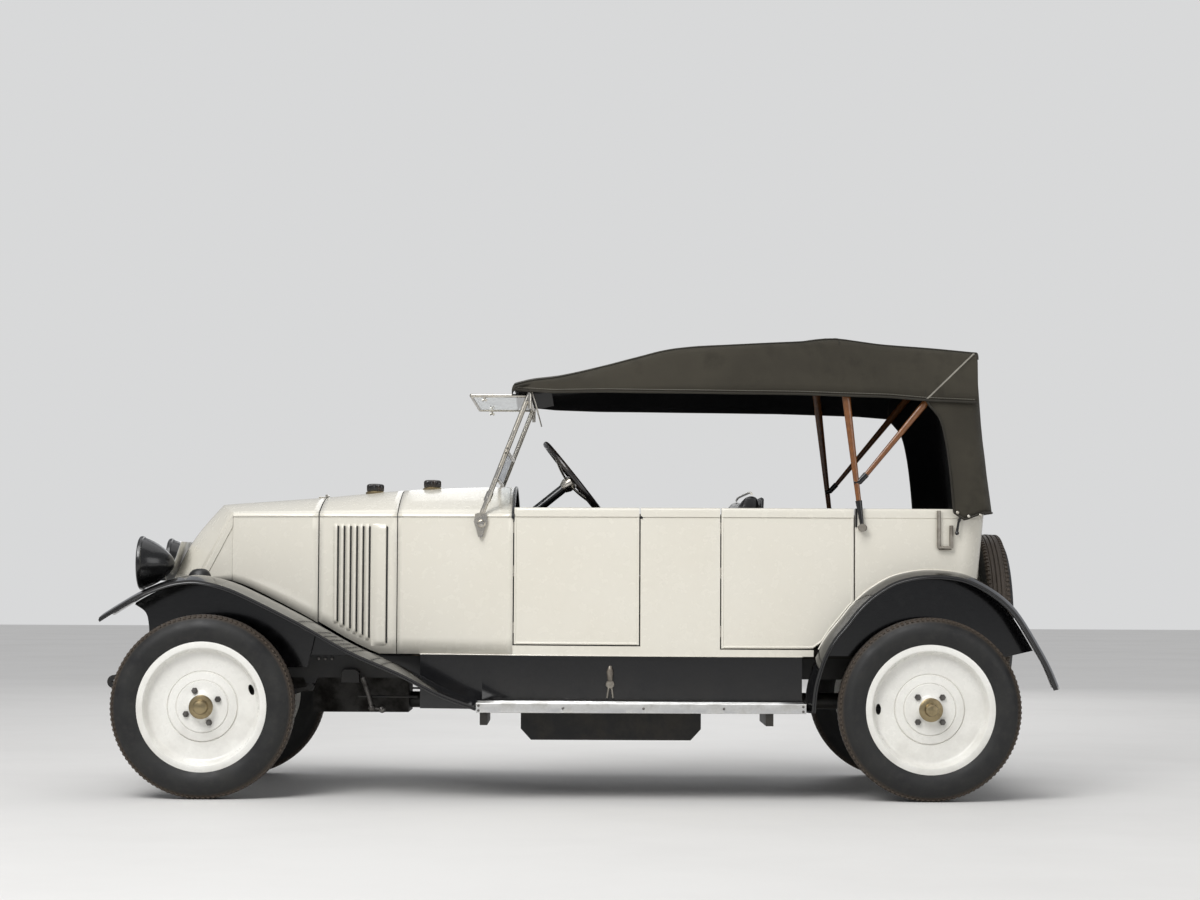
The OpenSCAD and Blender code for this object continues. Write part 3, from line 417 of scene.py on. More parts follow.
steelWorn = metalFinish("steelWorn", rgb(0.40, 0.37, 0.32), rgb(0.13, 0.11, 0.09), 0.34, amount=0.9)
boardMetal = metalFinish("boardMetal", rgb(0.70, 0.70, 0.69), rgb(0.46, 0.45, 0.42), 0.34, scratch=0.25)
engineMetal = metalFinish("engineMetal", rgb(0.055, 0.053, 0.05), rgb(0.022, 0.02, 0.018), 0.5, amount=0.9)


def rubberFinish():
    material, tree, shader, spot = startFinish("rubber", {"Specular IOR Level": 0.35})
    own = ownPattern(tree)
    radius = addNode(tree, "ShaderNodeSeparateXYZ", None, Vector=own).outputs[1]
    rings = addNode(tree, "ShaderNodeTexWave", {"wave_type": "BANDS", "bands_direction": "Y"}, Vector=own, Scale=70.0,
                    Distortion=0.2).outputs[1]
    tread = ramp(tree, radius, 0.342, 0.356)
    cloud = useGroup(tree, patches, Vector=spot, Scale=9.0, From=0.3, To=0.7)["Mask"]
    dry = useGroup(tree, patches, Vector=spot, Scale=38.0, From=0.45, To=0.75)["Mask"]
    colour = blendColour(tree, cloud, rgb(0.011, 0.011, 0.0115), rgb(0.020, 0.020, 0.019))
    colour = blendColour(tree, calc(tree, "MULTIPLY", tread, 0.55), colour, rgb(0.105, 0.078, 0.055))
    colour = blendColour(tree, calc(tree, "MULTIPLY", dry, 0.2), colour, rgb(0.05, 0.045, 0.04))
    tree.links.new(colour, shader.inputs["Base Color"])
    tree.links.new(calc(tree, "ADD", calc(tree, "MULTIPLY", cloud, 0.22), 0.42), shader.inputs["Roughness"])
    height = calc(tree, "ADD", calc(tree, "MULTIPLY", rings, 0.4), noiseOf(tree, spot, 160.0, 4.0))
    tree.links.new(addNode(tree, "ShaderNodeBump", None, Strength=0.25, Distance=0.0008, Height=height).outputs[0],
                   shader.inputs["Normal"])
    return material


def clothFinish(name, base, faded, stain, rough, threads, depth, sheen):
    material, tree, shader, spot = startFinish(name, {"Sheen Weight": sheen, "Sheen Roughness": 0.5,
                                                      "Specular IOR Level": 0.25})
    own = ownPattern(tree)
    cloth = useGroup(tree, weave, Vector=own, Threads=threads)
    cloud = useGroup(tree, patches, Vector=spot, Scale=1.9, From=0.32, To=0.7)["Mask"]
    blot = useGroup(tree, patches, Vector=spot, Scale=7.5, From=0.5, To=0.78)["Mask"]
    colour = blendColour(tree, cloud, base, faded)
    colour = blendColour(tree, calc(tree, "MULTIPLY", blot, 0.55), colour, stain)
    colour = blendColour(tree, calc(tree, "MULTIPLY", cloth["Slub"], 0.22), colour, faded, "SCREEN")
    colour = blendColour(tree, calc(tree, "MULTIPLY", cloth["Height"], 0.25), colour, stain, "MULTIPLY")
    tree.links.new(colour, shader.inputs["Base Color"])
    tree.links.new(calc(tree, "ADD", calc(tree, "MULTIPLY", blot, 0.1), rough), shader.inputs["Roughness"])
    folds = calc(tree, "MULTIPLY", noiseOf(tree, spot, 11.0, 3.0), 1.2)
    height = calc(tree, "ADD", calc(tree, "MULTIPLY", cloth["Height"], depth), folds)
    tree.links.new(addNode(tree, "ShaderNodeBump", None, Strength=0.35, Distance=0.0025, Height=height).outputs[0],
                   shader.inputs["Normal"])
    return material


def woodFinish(name, light, dark, stretch, own=False, coat=0.6):
    material, tree, shader, spot = startFinish(name, {"Coat Weight": coat, "Coat Roughness": 0.1})
    fibres = useGroup(tree, grain, Vector=ownPattern(tree) if own else spot, Stretch=stretch)
    colour = blendColour(tree, ramp(tree, fibres["Fibre"], 0.35, 0.65), light, dark)
    colour = blendColour(tree, calc(tree, "MULTIPLY", fibres["Rings"], 0.35), colour, dark)
    worn = useGroup(tree, patches, Vector=spot, Scale=18.0, From=0.55, To=0.75)["Mask"]
    colour = blendColour(tree, calc(tree, "MULTIPLY", worn, 0.5), colour, rgb(0.06, 0.028, 0.014))
    tree.links.new(colour, shader.inputs["Base Color"])
    tree.links.new(ramp(tree, fibres["Fibre"], 0.3, 0.7, 0.28, 0.42), shader.inputs["Roughness"])
    tree.links.new(addNode(tree, "ShaderNodeBump", None, Strength=0.2, Distance=0.0006, Height=fibres["Fibre"]).outputs[0],
                   shader.inputs["Normal"])
    return material


def leatherFinish(name, base, worn, rough):
    material, tree, shader, spot = startFinish(name, {"Coat Weight": 0.12, "Coat Roughness": 0.25})
    skin = useGroup(tree, hide, Vector=spot, Scale=330.0, Strength=0.55)
    cloud = useGroup(tree, patches, Vector=spot, Scale=6.0, From=0.4, To=0.75)["Mask"]
    colour = blendColour(tree, calc(tree, "MULTIPLY", cloud, 0.7), base, worn)
    tree.links.new(colour, shader.inputs["Base Color"])
    tree.links.new(calc(tree, "ADD", calc(tree, "MULTIPLY", skin["Height"], -0.12), rough), shader.inputs["Roughness"])
    tree.links.new(skin["Normal"], shader.inputs["Normal"])
    return material


def glassFinish():
    material, tree, shader, spot = startFinish("clearGlass", {"Base Color": rgb(0.93, 0.97, 0.96), "IOR": 1.5,
                                                              "Transmission Weight": 1.0, "Metallic": 0.0})
    film = useGroup(tree, patches, Vector=spot, Scale=5.0, From=0.45, To=0.9)["Mask"]
    tree.links.new(calc(tree, "ADD", calc(tree, "MULTIPLY", film, 0.05), 0.02), shader.inputs["Roughness"])
    tree.links.new(useGroup(tree, ripple, Vector=spot, Scale=5.0, Strength=0.05, Depth=0.001)["Normal"],
                   shader.inputs["Normal"])
    return material


def matFinish():   # coarse ribbed floor mat
    material, tree, shader, spot = startFinish("floorMat", {"Specular IOR Level": 0.2})
    ribs = addNode(tree, "ShaderNodeTexWave", {"wave_type": "BANDS", "bands_direction": "Y"}, Vector=spot, Scale=30.0,
                   Distortion=0.6, Detail=2.0).outputs[1]
    worn = useGroup(tree, patches, Vector=spot, Scale=8.0, From=0.4, To=0.7)["Mask"]
    colour = blendColour(tree, worn, rgb(0.045, 0.038, 0.030), rgb(0.10, 0.08, 0.055))
    tree.links.new(blendColour(tree, ribs, colour, rgb(0.02, 0.018, 0.015)), shader.inputs["Base Color"])
    tree.links.new(ramp(tree, ribs, 0.0, 1.0, 0.8, 0.95), shader.inputs["Roughness"])
    tree.links.new(addNode(tree, "ShaderNodeBump", None, Strength=0.8, Distance=0.003, Height=ribs).outputs[0],
                   shader.inputs["Normal"])
    return material


def bakeliteFinish():
    material, tree, shader, spot = startFinish("bakelite", {"Coat Weight": 0.4, "Coat Roughness": 0.12})
    cloud = useGroup(tree, patches, Vector=spot, Scale=30.0, From=0.4, To=0.7)["Mask"]
    tree.links.new(blendColour(tree, cloud, rgb(0.010, 0.009, 0.009), rgb(0.030, 0.020, 0.014)), shader.inputs["Base Color"])
    tree.links.new(calc(tree, "ADD", calc(tree, "MULTIPLY", cloud, 0.15), 0.22), shader.inputs["Roughness"])
    tree.links.new(useGroup(tree, ripple, Vector=spot, Scale=180.0, Strength=0.08, Depth=0.0008)["Normal"],
                   shader.inputs["Normal"])
    return material


rubber = rubberFinish()
canvas = clothFinish("canvas", rgb(0.032, 0.028, 0.020), rgb(0.052, 0.046, 0.033), rgb(0.018, 0.016, 0.012), 0.82,
                     4200.0, 1.0, 0.12)
canvasLining = clothFinish("canvasLining", rgb(0.008, 0.008, 0.009), rgb(0.014, 0.014, 0.015), rgb(0.006, 0.006, 0.006),
                           0.9, 5200.0, 0.6, 0.05)
canvasBinding = clothFinish("canvasBinding", rgb(0.022, 0.019, 0.014), rgb(0.040, 0.036, 0.027), rgb(0.015, 0.013, 0.01),
                            0.8, 6000.0, 0.8, 0.1)
threadPale = clothFinish("threadPale", rgb(0.34, 0.32, 0.27), rgb(0.42, 0.40, 0.35), rgb(0.2, 0.18, 0.15), 0.8,
                         9000.0, 0.5, 0.0)
bowWood = woodFinish("bowWood", rgb(0.27, 0.098, 0.020), rgb(0.11, 0.036, 0.008), (60.0, 3.0, 60.0), own=True)
dashWood = woodFinish("dashWood", rgb(0.20, 0.085, 0.030), rgb(0.085, 0.032, 0.012), (6.0, 1.2, 14.0))
blackHide = leatherFinish("blackHide", rgb(0.012, 0.012, 0.013), rgb(0.035, 0.032, 0.03), 0.42)
creamHide = leatherFinish("creamHide", rgb(0.72, 0.69, 0.60), rgb(0.55, 0.50, 0.40), 0.45)
clearGlass = glassFinish()
floorMat = matFinish()
bakelite = bakeliteFinish()
print("finishes made:", len(bpy.data.materials))


def dress(node, *materials):   # gives a CAD node that stays its better finish
    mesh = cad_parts[node].data
    mesh.materials.clear()
    for material in materials:
        mesh.materials.append(material)


for name in ("chassis_frame", "front_axle", "rear_axle", "underfloor_box", "left_knuckle", "right_knuckle", "tie_rod",
             "spare_carrier", "springs"):
    dress(name, chassisBlack)
dress("engine_block", engineMetal)
dress("floor", floorMat)
dress("dashboard", dashWood)
dress("steering_column", ironBlack)
dress("windscreen_glass", clearGlass)
dress("lamp_glass", clearGlass)
dress("front_apron", wingBlack)
dress("side_aprons", wingBlack)
dress("top_irons", steelWorn)


# ---- Geometry Nodes trees for what repeats ----
def startTree(name, inputs):
    tree = bpy.data.node_groups.new(name, "GeometryNodeTree")
    tree.interface.new_socket("Geometry", in_out="OUTPUT", socket_type="NodeSocketGeometry")
    keys = {}
    for label, kind, value in [("Geometry", "NodeSocketGeometry", None)] + inputs:
        socket = tree.interface.new_socket(label, in_out="INPUT", socket_type=kind)
        keys[label] = socket.identifier
        if value is not None:
            socket.default_value = value
    return tree, keys, tree.nodes.new("NodeGroupInput").outputs, tree.nodes.new("NodeGroupOutput").inputs


def endTree(tree, instances, material, out):
    real = addNode(tree, "GeometryNodeRealizeInstances", None, Geometry=instances).outputs[0]
    done = addNode(tree, "GeometryNodeSetMaterial", None, Geometry=real, Material=material).outputs[0]
    tree.links.new(done, out[0])


def makeSpotTree():   # one copy on each point, turned and sized by the points' own attributes
    tree, keys, given, out = startTree("copiesOnPoints", [("Copy", "NodeSocketObject", None), ("Size", number, 1.0),
                                                         ("Finish", "NodeSocketMaterial", None)])
    copy = addNode(tree, "GeometryNodeObjectInfo", {"transform_space": "ORIGINAL"}, Object=given["Copy"]).outputs["Geometry"]
    turn = addNode(tree, "GeometryNodeInputNamedAttribute", {"data_type": "FLOAT_VECTOR"}, Name="turn").outputs[0]
    size = addNode(tree, "GeometryNodeInputNamedAttribute", {"data_type": "FLOAT_VECTOR"}, Name="size").outputs[0]
    scaled = addNode(tree, "ShaderNodeVectorMath", {"operation": "SCALE"}, Vector=size, Scale=given["Size"]).outputs[0]
    euler = addNode(tree, "FunctionNodeEulerToRotation", None, Euler=turn).outputs[0]
    put = addNode(tree, "GeometryNodeInstanceOnPoints", None, Points=given["Geometry"], Instance=copy, Rotation=euler,
                  Scale=scaled).outputs[0]
    endTree(tree, put, given["Finish"], out)
    return tree, keys


def makeRingTree():   # copies spaced round a circle in the XZ plane, each turned to face outward
    tree, keys, given, out = startTree("copiesRoundAxis", [("Copy", "NodeSocketObject", None), ("Count", "NodeSocketInt", 8),
                                                          ("Radius", number, 0.1), ("First", number, 0.0),
                                                          ("Finish", "NodeSocketMaterial", None)])
    copy = addNode(tree, "GeometryNodeObjectInfo", {"transform_space": "ORIGINAL"}, Object=given["Copy"]).outputs["Geometry"]
    points = addNode(tree, "GeometryNodePoints", None, Count=given["Count"]).outputs[0]
    index = tree.nodes.new("GeometryNodeInputIndex").outputs[0]
    turn = calc(tree, "ADD", calc(tree, "MULTIPLY", calc(tree, "DIVIDE", index, given["Count"]), 2 * math.pi), given["First"])
    x = calc(tree, "MULTIPLY", calc(tree, "COSINE", turn), given["Radius"])
    z = calc(tree, "MULTIPLY", calc(tree, "SINE", turn), given["Radius"])
    spot = addNode(tree, "ShaderNodeCombineXYZ", None, X=x, Z=z).outputs[0]
    moved = addNode(tree, "GeometryNodeSetPosition", None, Geometry=points, Position=spot).outputs[0]
    facing = addNode(tree, "ShaderNodeCombineXYZ", None, Y=calc(tree, "MULTIPLY", turn, -1.0)).outputs[0]
    euler = addNode(tree, "FunctionNodeEulerToRotation", None, Euler=facing).outputs[0]
    put = addNode(tree, "GeometryNodeInstanceOnPoints", None, Points=moved, Instance=copy, Rotation=euler).outputs[0]
    endTree(tree, put, given["Finish"], out)
    return tree, keys


spotTree, spotKeys = makeSpotTree()
ringTree, ringKeys = makeRingTree()


def runTree(tree, keys, values, base, name):   # evaluates a tree once and keeps its plain mesh
    carrier = bpy.data.objects.new(name + "Carrier", base)
    scene.collection.objects.link(carrier)
    modifier = carrier.modifiers.new("copies", "NODES")
    modifier.node_group = tree
    for label, value in values.items():
        modifier[keys[label]] = value
    bpy.context.view_layer.update()
    mesh = bpy.data.meshes.new_from_object(carrier.evaluated_get(bpy.context.evaluated_depsgraph_get()))
    mesh.name = name
    bpy.data.objects.remove(carrier)
    return mesh


def copyObject(shape, name):   # a hidden pattern piece that the trees copy
    obj = bpy.data.objects.new(name, toMesh(shape, name))
    scene.collection.objects.link(obj)
    obj.data.shade_smooth()
    obj.data.set_sharp_from_angle(angle=math.radians(35))
    return obj


def copiesOnPoints(name, copyShape, spots, material, size=1.0):   # spots: (place, turn, size) of each copy
    base = bpy.data.meshes.new(name + "Points")
    base.from_pydata([tuple(s[0]) for s in spots], [], [])
    for label, k in (("turn", 1), ("size", 2)):
        data = base.attributes.new(label, "FLOAT_VECTOR", "POINT")
        data.data.foreach_set("vector", [c for s in spots for c in s[k]])
    copy = copyObject(copyShape, name + "Copy")
    mesh = runTree(spotTree, spotKeys, {"Copy": copy, "Size": size, "Finish": material}, base, name)
    bpy.data.objects.remove(copy)
    return mesh


def copiesRound(name, copyShape, count, radius, material, first=0.0):
    copy = copyObject(copyShape, name + "Copy")
    mesh = runTree(ringTree, ringKeys, {"Copy": copy, "Count": count, "Radius": radius, "First": first,
                                        "Finish": material}, bpy.data.meshes.new(name + "Base"), name)
    bpy.data.objects.remove(copy)
    return mesh


def showCopies(mesh, name, body, slot):
    obj = bpy.data.objects.new(name, mesh)
    scene.collection.objects.link(obj)
    return place(obj, body, slot)


def turnTo(direction, up="Y"):   # turn that points a copy's Z along a direction
    return tuple(Vector(direction).to_track_quat("Z", up).to_euler())


print("trees ready")


# ---- lines of the body and the wings ----
body = {"plan": [[-1.720, 0.190], [-1.570, 0.205], [-1.420, 0.262], [-1.060, 0.345], [-0.735, 0.400], [-0.386, 0.455],
                 [-0.263, 0.492], [0.0, 0.525], [0.250, 0.549], [0.570, 0.565], [0.900, 0.570], [1.350, 0.568],
                 [1.500, 0.556]],
        "ridge": [[-1.468, 1.185], [-1.073, 1.215], [-0.738, 1.246], [-0.416, 1.261], [-0.263, 1.262]],
        "sill": 0.570, "shoulder": 1.144, "belt": 1.165, "wall": 0.025, "swage": 1.126, "swageRise": 0.0034,
        "sheet": 0.003, "corner": 0.014, "bonnetRear": -1.065, "cowlFront": -1.060, "cowlRear": -0.735,
        "tubFront": -0.263, "tubRear": 1.649, "tubRearLow": 1.590, "tubCorner": 0.110}
wing = {"front": [[-0.4005, 0.373], [-0.548, 0.427], [-0.706, 0.506], [-0.905, 0.592], [-1.103, 0.702], [-1.301, 0.801],
                  [-1.400, 0.842], [-1.500, 0.865], [-1.570, 0.863], [-1.639, 0.847], [-1.738, 0.807], [-1.820, 0.760],
                  [-1.889, 0.716]],
        "rear": [[1.900, 0.449], [1.870, 0.522], [1.832, 0.594], [1.754, 0.724], [1.694, 0.792], [1.620, 0.846],
                 [1.540, 0.884], [1.460, 0.898], [1.380, 0.899], [1.315, 0.890], [1.254, 0.872], [1.200, 0.842],
                 [1.152, 0.807], [1.106, 0.762], [1.066, 0.711], [1.012, 0.645], [0.972, 0.573], [0.947, 0.500],
                 [0.932, 0.435], [0.925, 0.352]],
        "outer": 0.700, "frontInner": 0.358, "rearInner": 0.520, "crown": 0.020, "hold": 0.86, "lip": 0.012,
        "sheet": 0.003, "bead": 0.0055, "rise": 0.0165}
wheelAt = {"frontX": -1.488, "rearX": 1.402, "y": 0.610, "z": 0.365}
hinge = (-1.063, 1.2217)
frontWingLine = curveThrough(wing["front"], 5)
rearWingLine = curveThrough(wing["rear"], 4)


def lookup(line, x):   # straight-line value at x on points whose x rises or falls all the way
    line = line if line[0][0] < line[-1][0] else line[::-1]
    for a, b in zip(line, line[1:]):
        if a[0] <= x <= b[0]:
            return mix(a[1], b[1], (x - a[0]) / max(b[0] - a[0], 1e-9))
    return line[0][1] if x < line[0][0] else line[-1][1]


def beltHalf(x):
    return follow(body["plan"], x)


def ridgeZ(x):
    return follow(body["ridge"], x)


def fromAxle(p):   # direction from the rear axle to a point of the rear wing, in the side view
    return (Vector(p) - Vector((wheelAt["rearX"], wheelAt["z"]))).normalized()


archLine = [p + fromAxle(p) * wing["rise"] for p in rearWingLine]


def archZ(x, away=0.0):
    return lookup([p + fromAxle(p) * away for p in archLine], x) if x > 0.91 else 0.0


def bonnetLow(x):
    return lookup(frontWingLine, x) + 0.013


def cowlLow(x):
    return max(body["sill"], lookup(frontWingLine, x) + 0.020)


# ---- bonnet, radiator cowl and scuttle ----
def crownRing(side, outward, w, low, tip, power, band):
    # ring over the body: side point (x, z), its outward direction, half width, lower edge and middle point
    r = body["corner"]
    rise = body["swageRise"]
    centre = Vector(side) - r * Vector(outward)
    top = centre.y
    step = max(top - band, mix(low, top, 0.5))
    half = [(centre.x, -w, mix(low, step - 0.0012, k / 8)) for k in range(9)]
    half += [(centre.x, -w + 0.0026, step - 0.0009), (centre.x, -w + 0.0026, step + 0.0010),
             (centre.x, -w - rise, step + 0.0014), (centre.x, -w - rise, mix(step, top, 0.6))]
    for a in (0, 22, 45, 68, 86):
        turn = math.radians(a)
        spot = centre + r * math.sin(turn) * Vector(outward)
        half.append((spot.x, -w - rise * (1 - a / 90) + r * (1 - math.cos(turn)), spot.y))
    first = 1 - 1.25 * r / w
    for f in spread(first, 0.0, 16):
        g = 1 - f ** power
        x, z = mix(side[0], tip[0], g), mix(side[1] - 0.002, tip[1], g)
        half.append((x, -w * f, z))
    return [Vector(p) for p in half] + mirrorY(half[-2::-1])


def bodyRing(x, low):
    return crownRing((x, body["shoulder"]), (0, 1), beltHalf(x), low, (x, ridgeZ(x)), 1.55, 0.004)


nose = {"top": Vector((-1.500, 1.182)), "front": Vector((-1.708, 0.872)), "sideTop": Vector((-1.425, 1.144)),
        "sideLow": Vector((-1.566, 0.892)), "lowHalf": 0.196, "bow": Vector((-0.020, 0.008))}


def noseRing(t):
    side = nose["sideTop"].lerp(nose["sideLow"], t)
    tip = nose["top"].lerp(nose["front"], t) + nose["bow"] * math.sin(math.pi * t)
    lean = min(1.0, t / 0.12)
    outward = Vector((0, 1)).lerp(Vector((-0.873, 0.488)), lean).normalized()
    low = mix(bonnetLow(nose["sideTop"].x), nose["sideLow"].y - 0.014, t)
    w = mix(beltHalf(nose["sideTop"].x), nose["lowHalf"], t)
    return crownRing(side, outward, w, low, tip, mix(1.55, 1.3, min(1, 3 * t)), mix(0.004, 0.026, lean))


def makeBonnet():
    shape = newShape()
    rings = [bodyRing(x, bonnetLow(x)) for x in spread(body["bonnetRear"], -1.405, 12)]
    rings += [noseRing(t) for t in spread(0, 1, 26)]
    addGrid(shape, rings, 0, flip=True)
    bonnet = piece(shape, "bonnetSheet", [creamPaint, chassisBlack], "bonnet", "body_paint", ["bonnet"],
                   thick=body["sheet"])
    shape = newShape()
    addTube(shape, [(hinge[0], y, hinge[1]) for y in spread(-0.040, 0.040, 4)], 0.006, 16)
    addBox(shape, (hinge[0] - 0.034, -0.036, ridgeZ(-1.09) - 0.001), (hinge[0], 0.036, ridgeZ(-1.09) + 0.0035))
    piece(shape, "bonnetHinge", [nickel], "bonnet", "nickel", bevel=0.0008)
    return bonnet


def makeCowl():
    shape = newShape()
    addGrid(shape, [bodyRing(x, cowlLow(x)) for x in spread(body["cowlRear"] - 0.0035, body["cowlFront"], 14)], 0, flip=True)
    piece(shape, "cowlSheet", [creamPaint, chassisBlack], "car", "body_paint", ["radiator_cowl"], thick=body["sheet"])
    shape = newShape()   # ledges under the two joints, so that no light shows through them
    for x, inset in ((body["cowlFront"], 0.006), (body["cowlRear"], 0.005)):
        rings = []
        for dx in (-0.022, 0.022):
            ring = bodyRing(x + dx, max(cowlLow(x + dx), bonnetLow(x + dx)) + 0.002)
            rings.append([p + Vector((0, math.copysign(inset, -p.y) if abs(p.y) > inset else 0, -inset)) for p in ring])
        addGrid(shape, rings, 0)
    piece(shape, "jointLedges", [chassisBlack], "car", "chassis_paint", thick=0.002)


louvre = {"first": -0.993, "pitch": 0.0262, "count": 6, "width": 0.0185, "rise": 0.0115, "top": 1.098,
          "wideAt": -0.812, "wideWidth": 0.062, "wideRise": 0.012, "clear": 0.030}


def louvreCopy(width, rise):   # one pressed louvre of unit height, opening to the rear
    shape = newShape()
    rows = []
    for t in [0, 0.006, 0.014, 0.026, 0.04] + spread(0.06, 0.94, 8) + [0.96, 0.974, 0.986, 0.994, 1]:
        end = min(t, 1 - t) / 0.04
        swell = math.sin(min(1, end) * math.pi / 2)
        row = []
        for u, h in ((0, 0), (0.12, 0.2), (0.3, 0.62), (0.5, 0.86), (0.72, 0.98), (0.88, 1), (0.97, 0.9), (1, 0.68), (1, 0)):
            row.append(((u - 0.5) * width, -rise * h * swell, -t))
        rows.append(row)
    addGrid(shape, rows)
    return shape


def slitCopy(width):   # black box behind a louvre, painted shade inside its opening
    shape = newShape()
    addBox(shape, (0.5 * width - 0.0005, -0.0048, -0.975), (0.5 * width + 0.0058, 0.0010, -0.022))
    return shape


def makeLouvres():
    def spot(x):
        low = cowlLow(x) + louvre["clear"]
        turn = math.atan2(-(beltHalf(x + 0.01) - beltHalf(x - 0.01)), 0.02)
        return ((x, -beltHalf(x), louvre["top"]), (0, 0, turn), (1, 1, louvre["top"] - low))
    narrow = [spot(louvre["first"] + k * louvre["pitch"]) for k in range(louvre["count"])]
    wide = [spot(louvre["wideAt"])]
    # the black boxes behind the louvres are painted shade inside their openings
    sets = [(louvreCopy(louvre["width"], louvre["rise"]), narrow, creamPaint),
            (louvreCopy(louvre["wideWidth"], louvre["wideRise"]), wide, creamPaint),
            (slitCopy(louvre["width"]), narrow, chassisBlack), (slitCopy(louvre["wideWidth"]), wide, chassisBlack)]
    for number_, (shape, spots, finish) in enumerate(sets):
        mesh = copiesOnPoints("louvres" + str(number_), shape, spots, finish)
        both = joinMeshes("louvres" + str(number_), [mesh, mirrored(mesh)])
        showCopies(both, "louvres" + str(number_), "car", "body_paint" if finish == creamPaint else "chassis_paint")


def mirrored(mesh):
    other = mesh.copy()
    other.transform(Matrix.Scale(-1, 4, (0, 1, 0)))
    other.flip_normals()
    return other


def joinMeshes(name, meshes):
    work = bmesh.new()
    for mesh in meshes:
        work.from_mesh(mesh)
    joined = meshes[0].copy()
    joined.name = name
    work.to_mesh(joined)
    work.free()
    return joined


def makeScuttle():
    shape = newShape()
    addGrid(shape, [bodyRing(x, body["sill"]) for x in spread(body["tubFront"] - 0.0005, body["cowlRear"] + 0.0005, 22)], 0,
            flip=True)
    piece(shape, "scuttleSheet", [creamPaint, blackHide], "car", "body_paint", ["scuttle"], thick=body["sheet"])
    shape = newShape()
    rim = [p + Vector((0.0, 0, -0.001)) for p in bodyRing(body["tubFront"] + 0.0, 1.10) if p.z > 1.12]
    addTube(shape, rim, 0.0065, 10)
    piece(shape, "scuttleRoll", [blackHide], "car", "seat_leather")


makeBonnet()
makeCowl()
makeLouvres()
makeScuttle()
print("bonnet, cowl and scuttle made")


# ---- tub and doors ----
door = {"gap": 0.005, "frontX": -0.263, "frontLength": 0.514, "rearX": 0.570, "rearLength": 0.541, "frontSill": 0.608,
        "rearSill": 0.597, "bead": 0.009, "beadRise": 0.0034, "pin": 0.0022}


def wallRows(low, stands):   # [height, inset of the outer face, inset of the inner face] up a wall
    top, swage, round_ = body["belt"], body["swage"], 0.009
    rows = [(mix(low, low + 0.010, k / 3), 0.0) for k in range(4)]
    rows += [(mix(low + 0.010, swage - 0.0012, k / 14), 0.0) for k in range(1, 15)]
    rows += [(swage - 0.0009, 0.0026), (swage + 0.0010, 0.0026), (swage + 0.0014, -stands), (mix(swage, top - round_, 0.7), -stands)]
    rows = [(z, inset, body["wall"]) for z, inset in rows]
    for a in (0, 22, 45, 68, 90):
        turn = math.radians(a)
        lift = round_ * (1 - math.cos(turn))
        rows.append((top - round_ + round_ * math.sin(turn), lift - stands * (1 - a / 90), body["wall"] - lift))
    return rows


def sideWall(shape, xs, lowOf, stands=0.0, borders=()):
    # wall on the left between the first and last x; borders are the edges that carry a raised bead
    outer, inner = [], []
    for x in xs:
        low = lowOf(x)
        w = beltHalf(x)
        edge = min([abs(x - b) for b in borders] or [1.0])
        fade = min(1.0, max(0.0, (x - xs[0] - 0.002) / 0.008)) if borders else 1.0   # flush at the hinge, so it clears
        out, back = [], []
        for z, inset, deep in wallRows(low, stands):
            raised = door["beadRise"] if borders and (0.0012 < edge < door["bead"] or low + 0.0012 < z < low + 0.009) else 0.0
            stand = min(inset, 0) - (raised if z < body["swage"] else 0)
            out.append(Vector((x, -w + fade * stand + max(inset, 0), z)))
            back.append(Vector((x, -w + deep, z)))
        outer.append(out)
        inner.append(back)
    addShell(shape, outer, inner)


def doorColumns(first, last):
    b = door["bead"]
    edge = [0.0, 0.0012, 0.0026, b - 0.0012, b, b + 0.002]
    return [first + e for e in edge] + spread(first + 0.03, last - 0.03, 14) + [last - e for e in reversed(edge)]


def makeDoor(name, body_, first, length, sill, side):
    gap = door["gap"]
    left, right = first + gap, first + length - gap
    shape = newShape()
    sideWall(shape, doorColumns(left, right), lambda x: max(sill + gap, archZ(x, 0.005)), body["swageRise"], (left, right))
    y = beltHalf(first) - door["pin"]
    for z in (sill + 0.050, mix(sill, body["belt"], 0.5), body["belt"] - 0.104):
        addTube(shape, [(first + 0.0025, -y, z + k * 0.011) for k in range(5)], door["pin"], 10, 2)
    for z in (mix(sill, body["belt"], 0.5) + 0.08, body["belt"] - 0.06):   # latch bolt and inside lever
        addTube(shape, [(right - 0.06, -beltHalf(right) + body["wall"] + 0.012, z), (right - 0.005, -beltHalf(right)
                + body["wall"] + 0.012, z)], 0.006, 10, 2)
    if side > 0:
        shape["verts"] = [(x, -y_, z) for x, y_, z in shape["verts"]]
        shape["faces"] = [f[::-1] for f in shape["faces"]]
    piece(shape, name, [creamPaint, blackHide, nickel], body_, "body_paint", [body_], bevel=0.0008)


for side, word in ((-1, "left"), (1, "right")):
    makeDoor("frontDoor_" + word, f"front_{word}_door", door["frontX"], door["frontLength"], door["frontSill"], side)
    makeDoor("rearDoor_" + word, f"rear_{word}_door", door["rearX"], door["rearLength"], door["rearSill"], side)


def rearPath():   # plan of the rear of the tub, left to right: x, y, outward direction, share of the rear's slope
    r = body["tubCorner"]
    cx, cy = body["tubRear"] - r, -0.556 + r
    start = door["rearX"] + door["rearLength"]
    side = [(x, -beltHalf(x), 0.0, -1.0, max(0.0, (x - 1.3) / (cx - 1.3))) for x in spread(start, cx, 16)]
    turn = [(cx + r * math.sin(math.radians(a)), cy - r * math.cos(math.radians(a)), math.sin(math.radians(a)),
             -math.cos(math.radians(a)), 1.0) for a in range(10, 91, 10)]
    half = side + turn
    half += [(body["tubRear"], y, 1.0, 0.0, 1.0) for y in spread(cy, 0.0, 8)[1:]]
    return half + [(x, -y, nx, -ny, k) for x, y, nx, ny, k in half[-2::-1]]


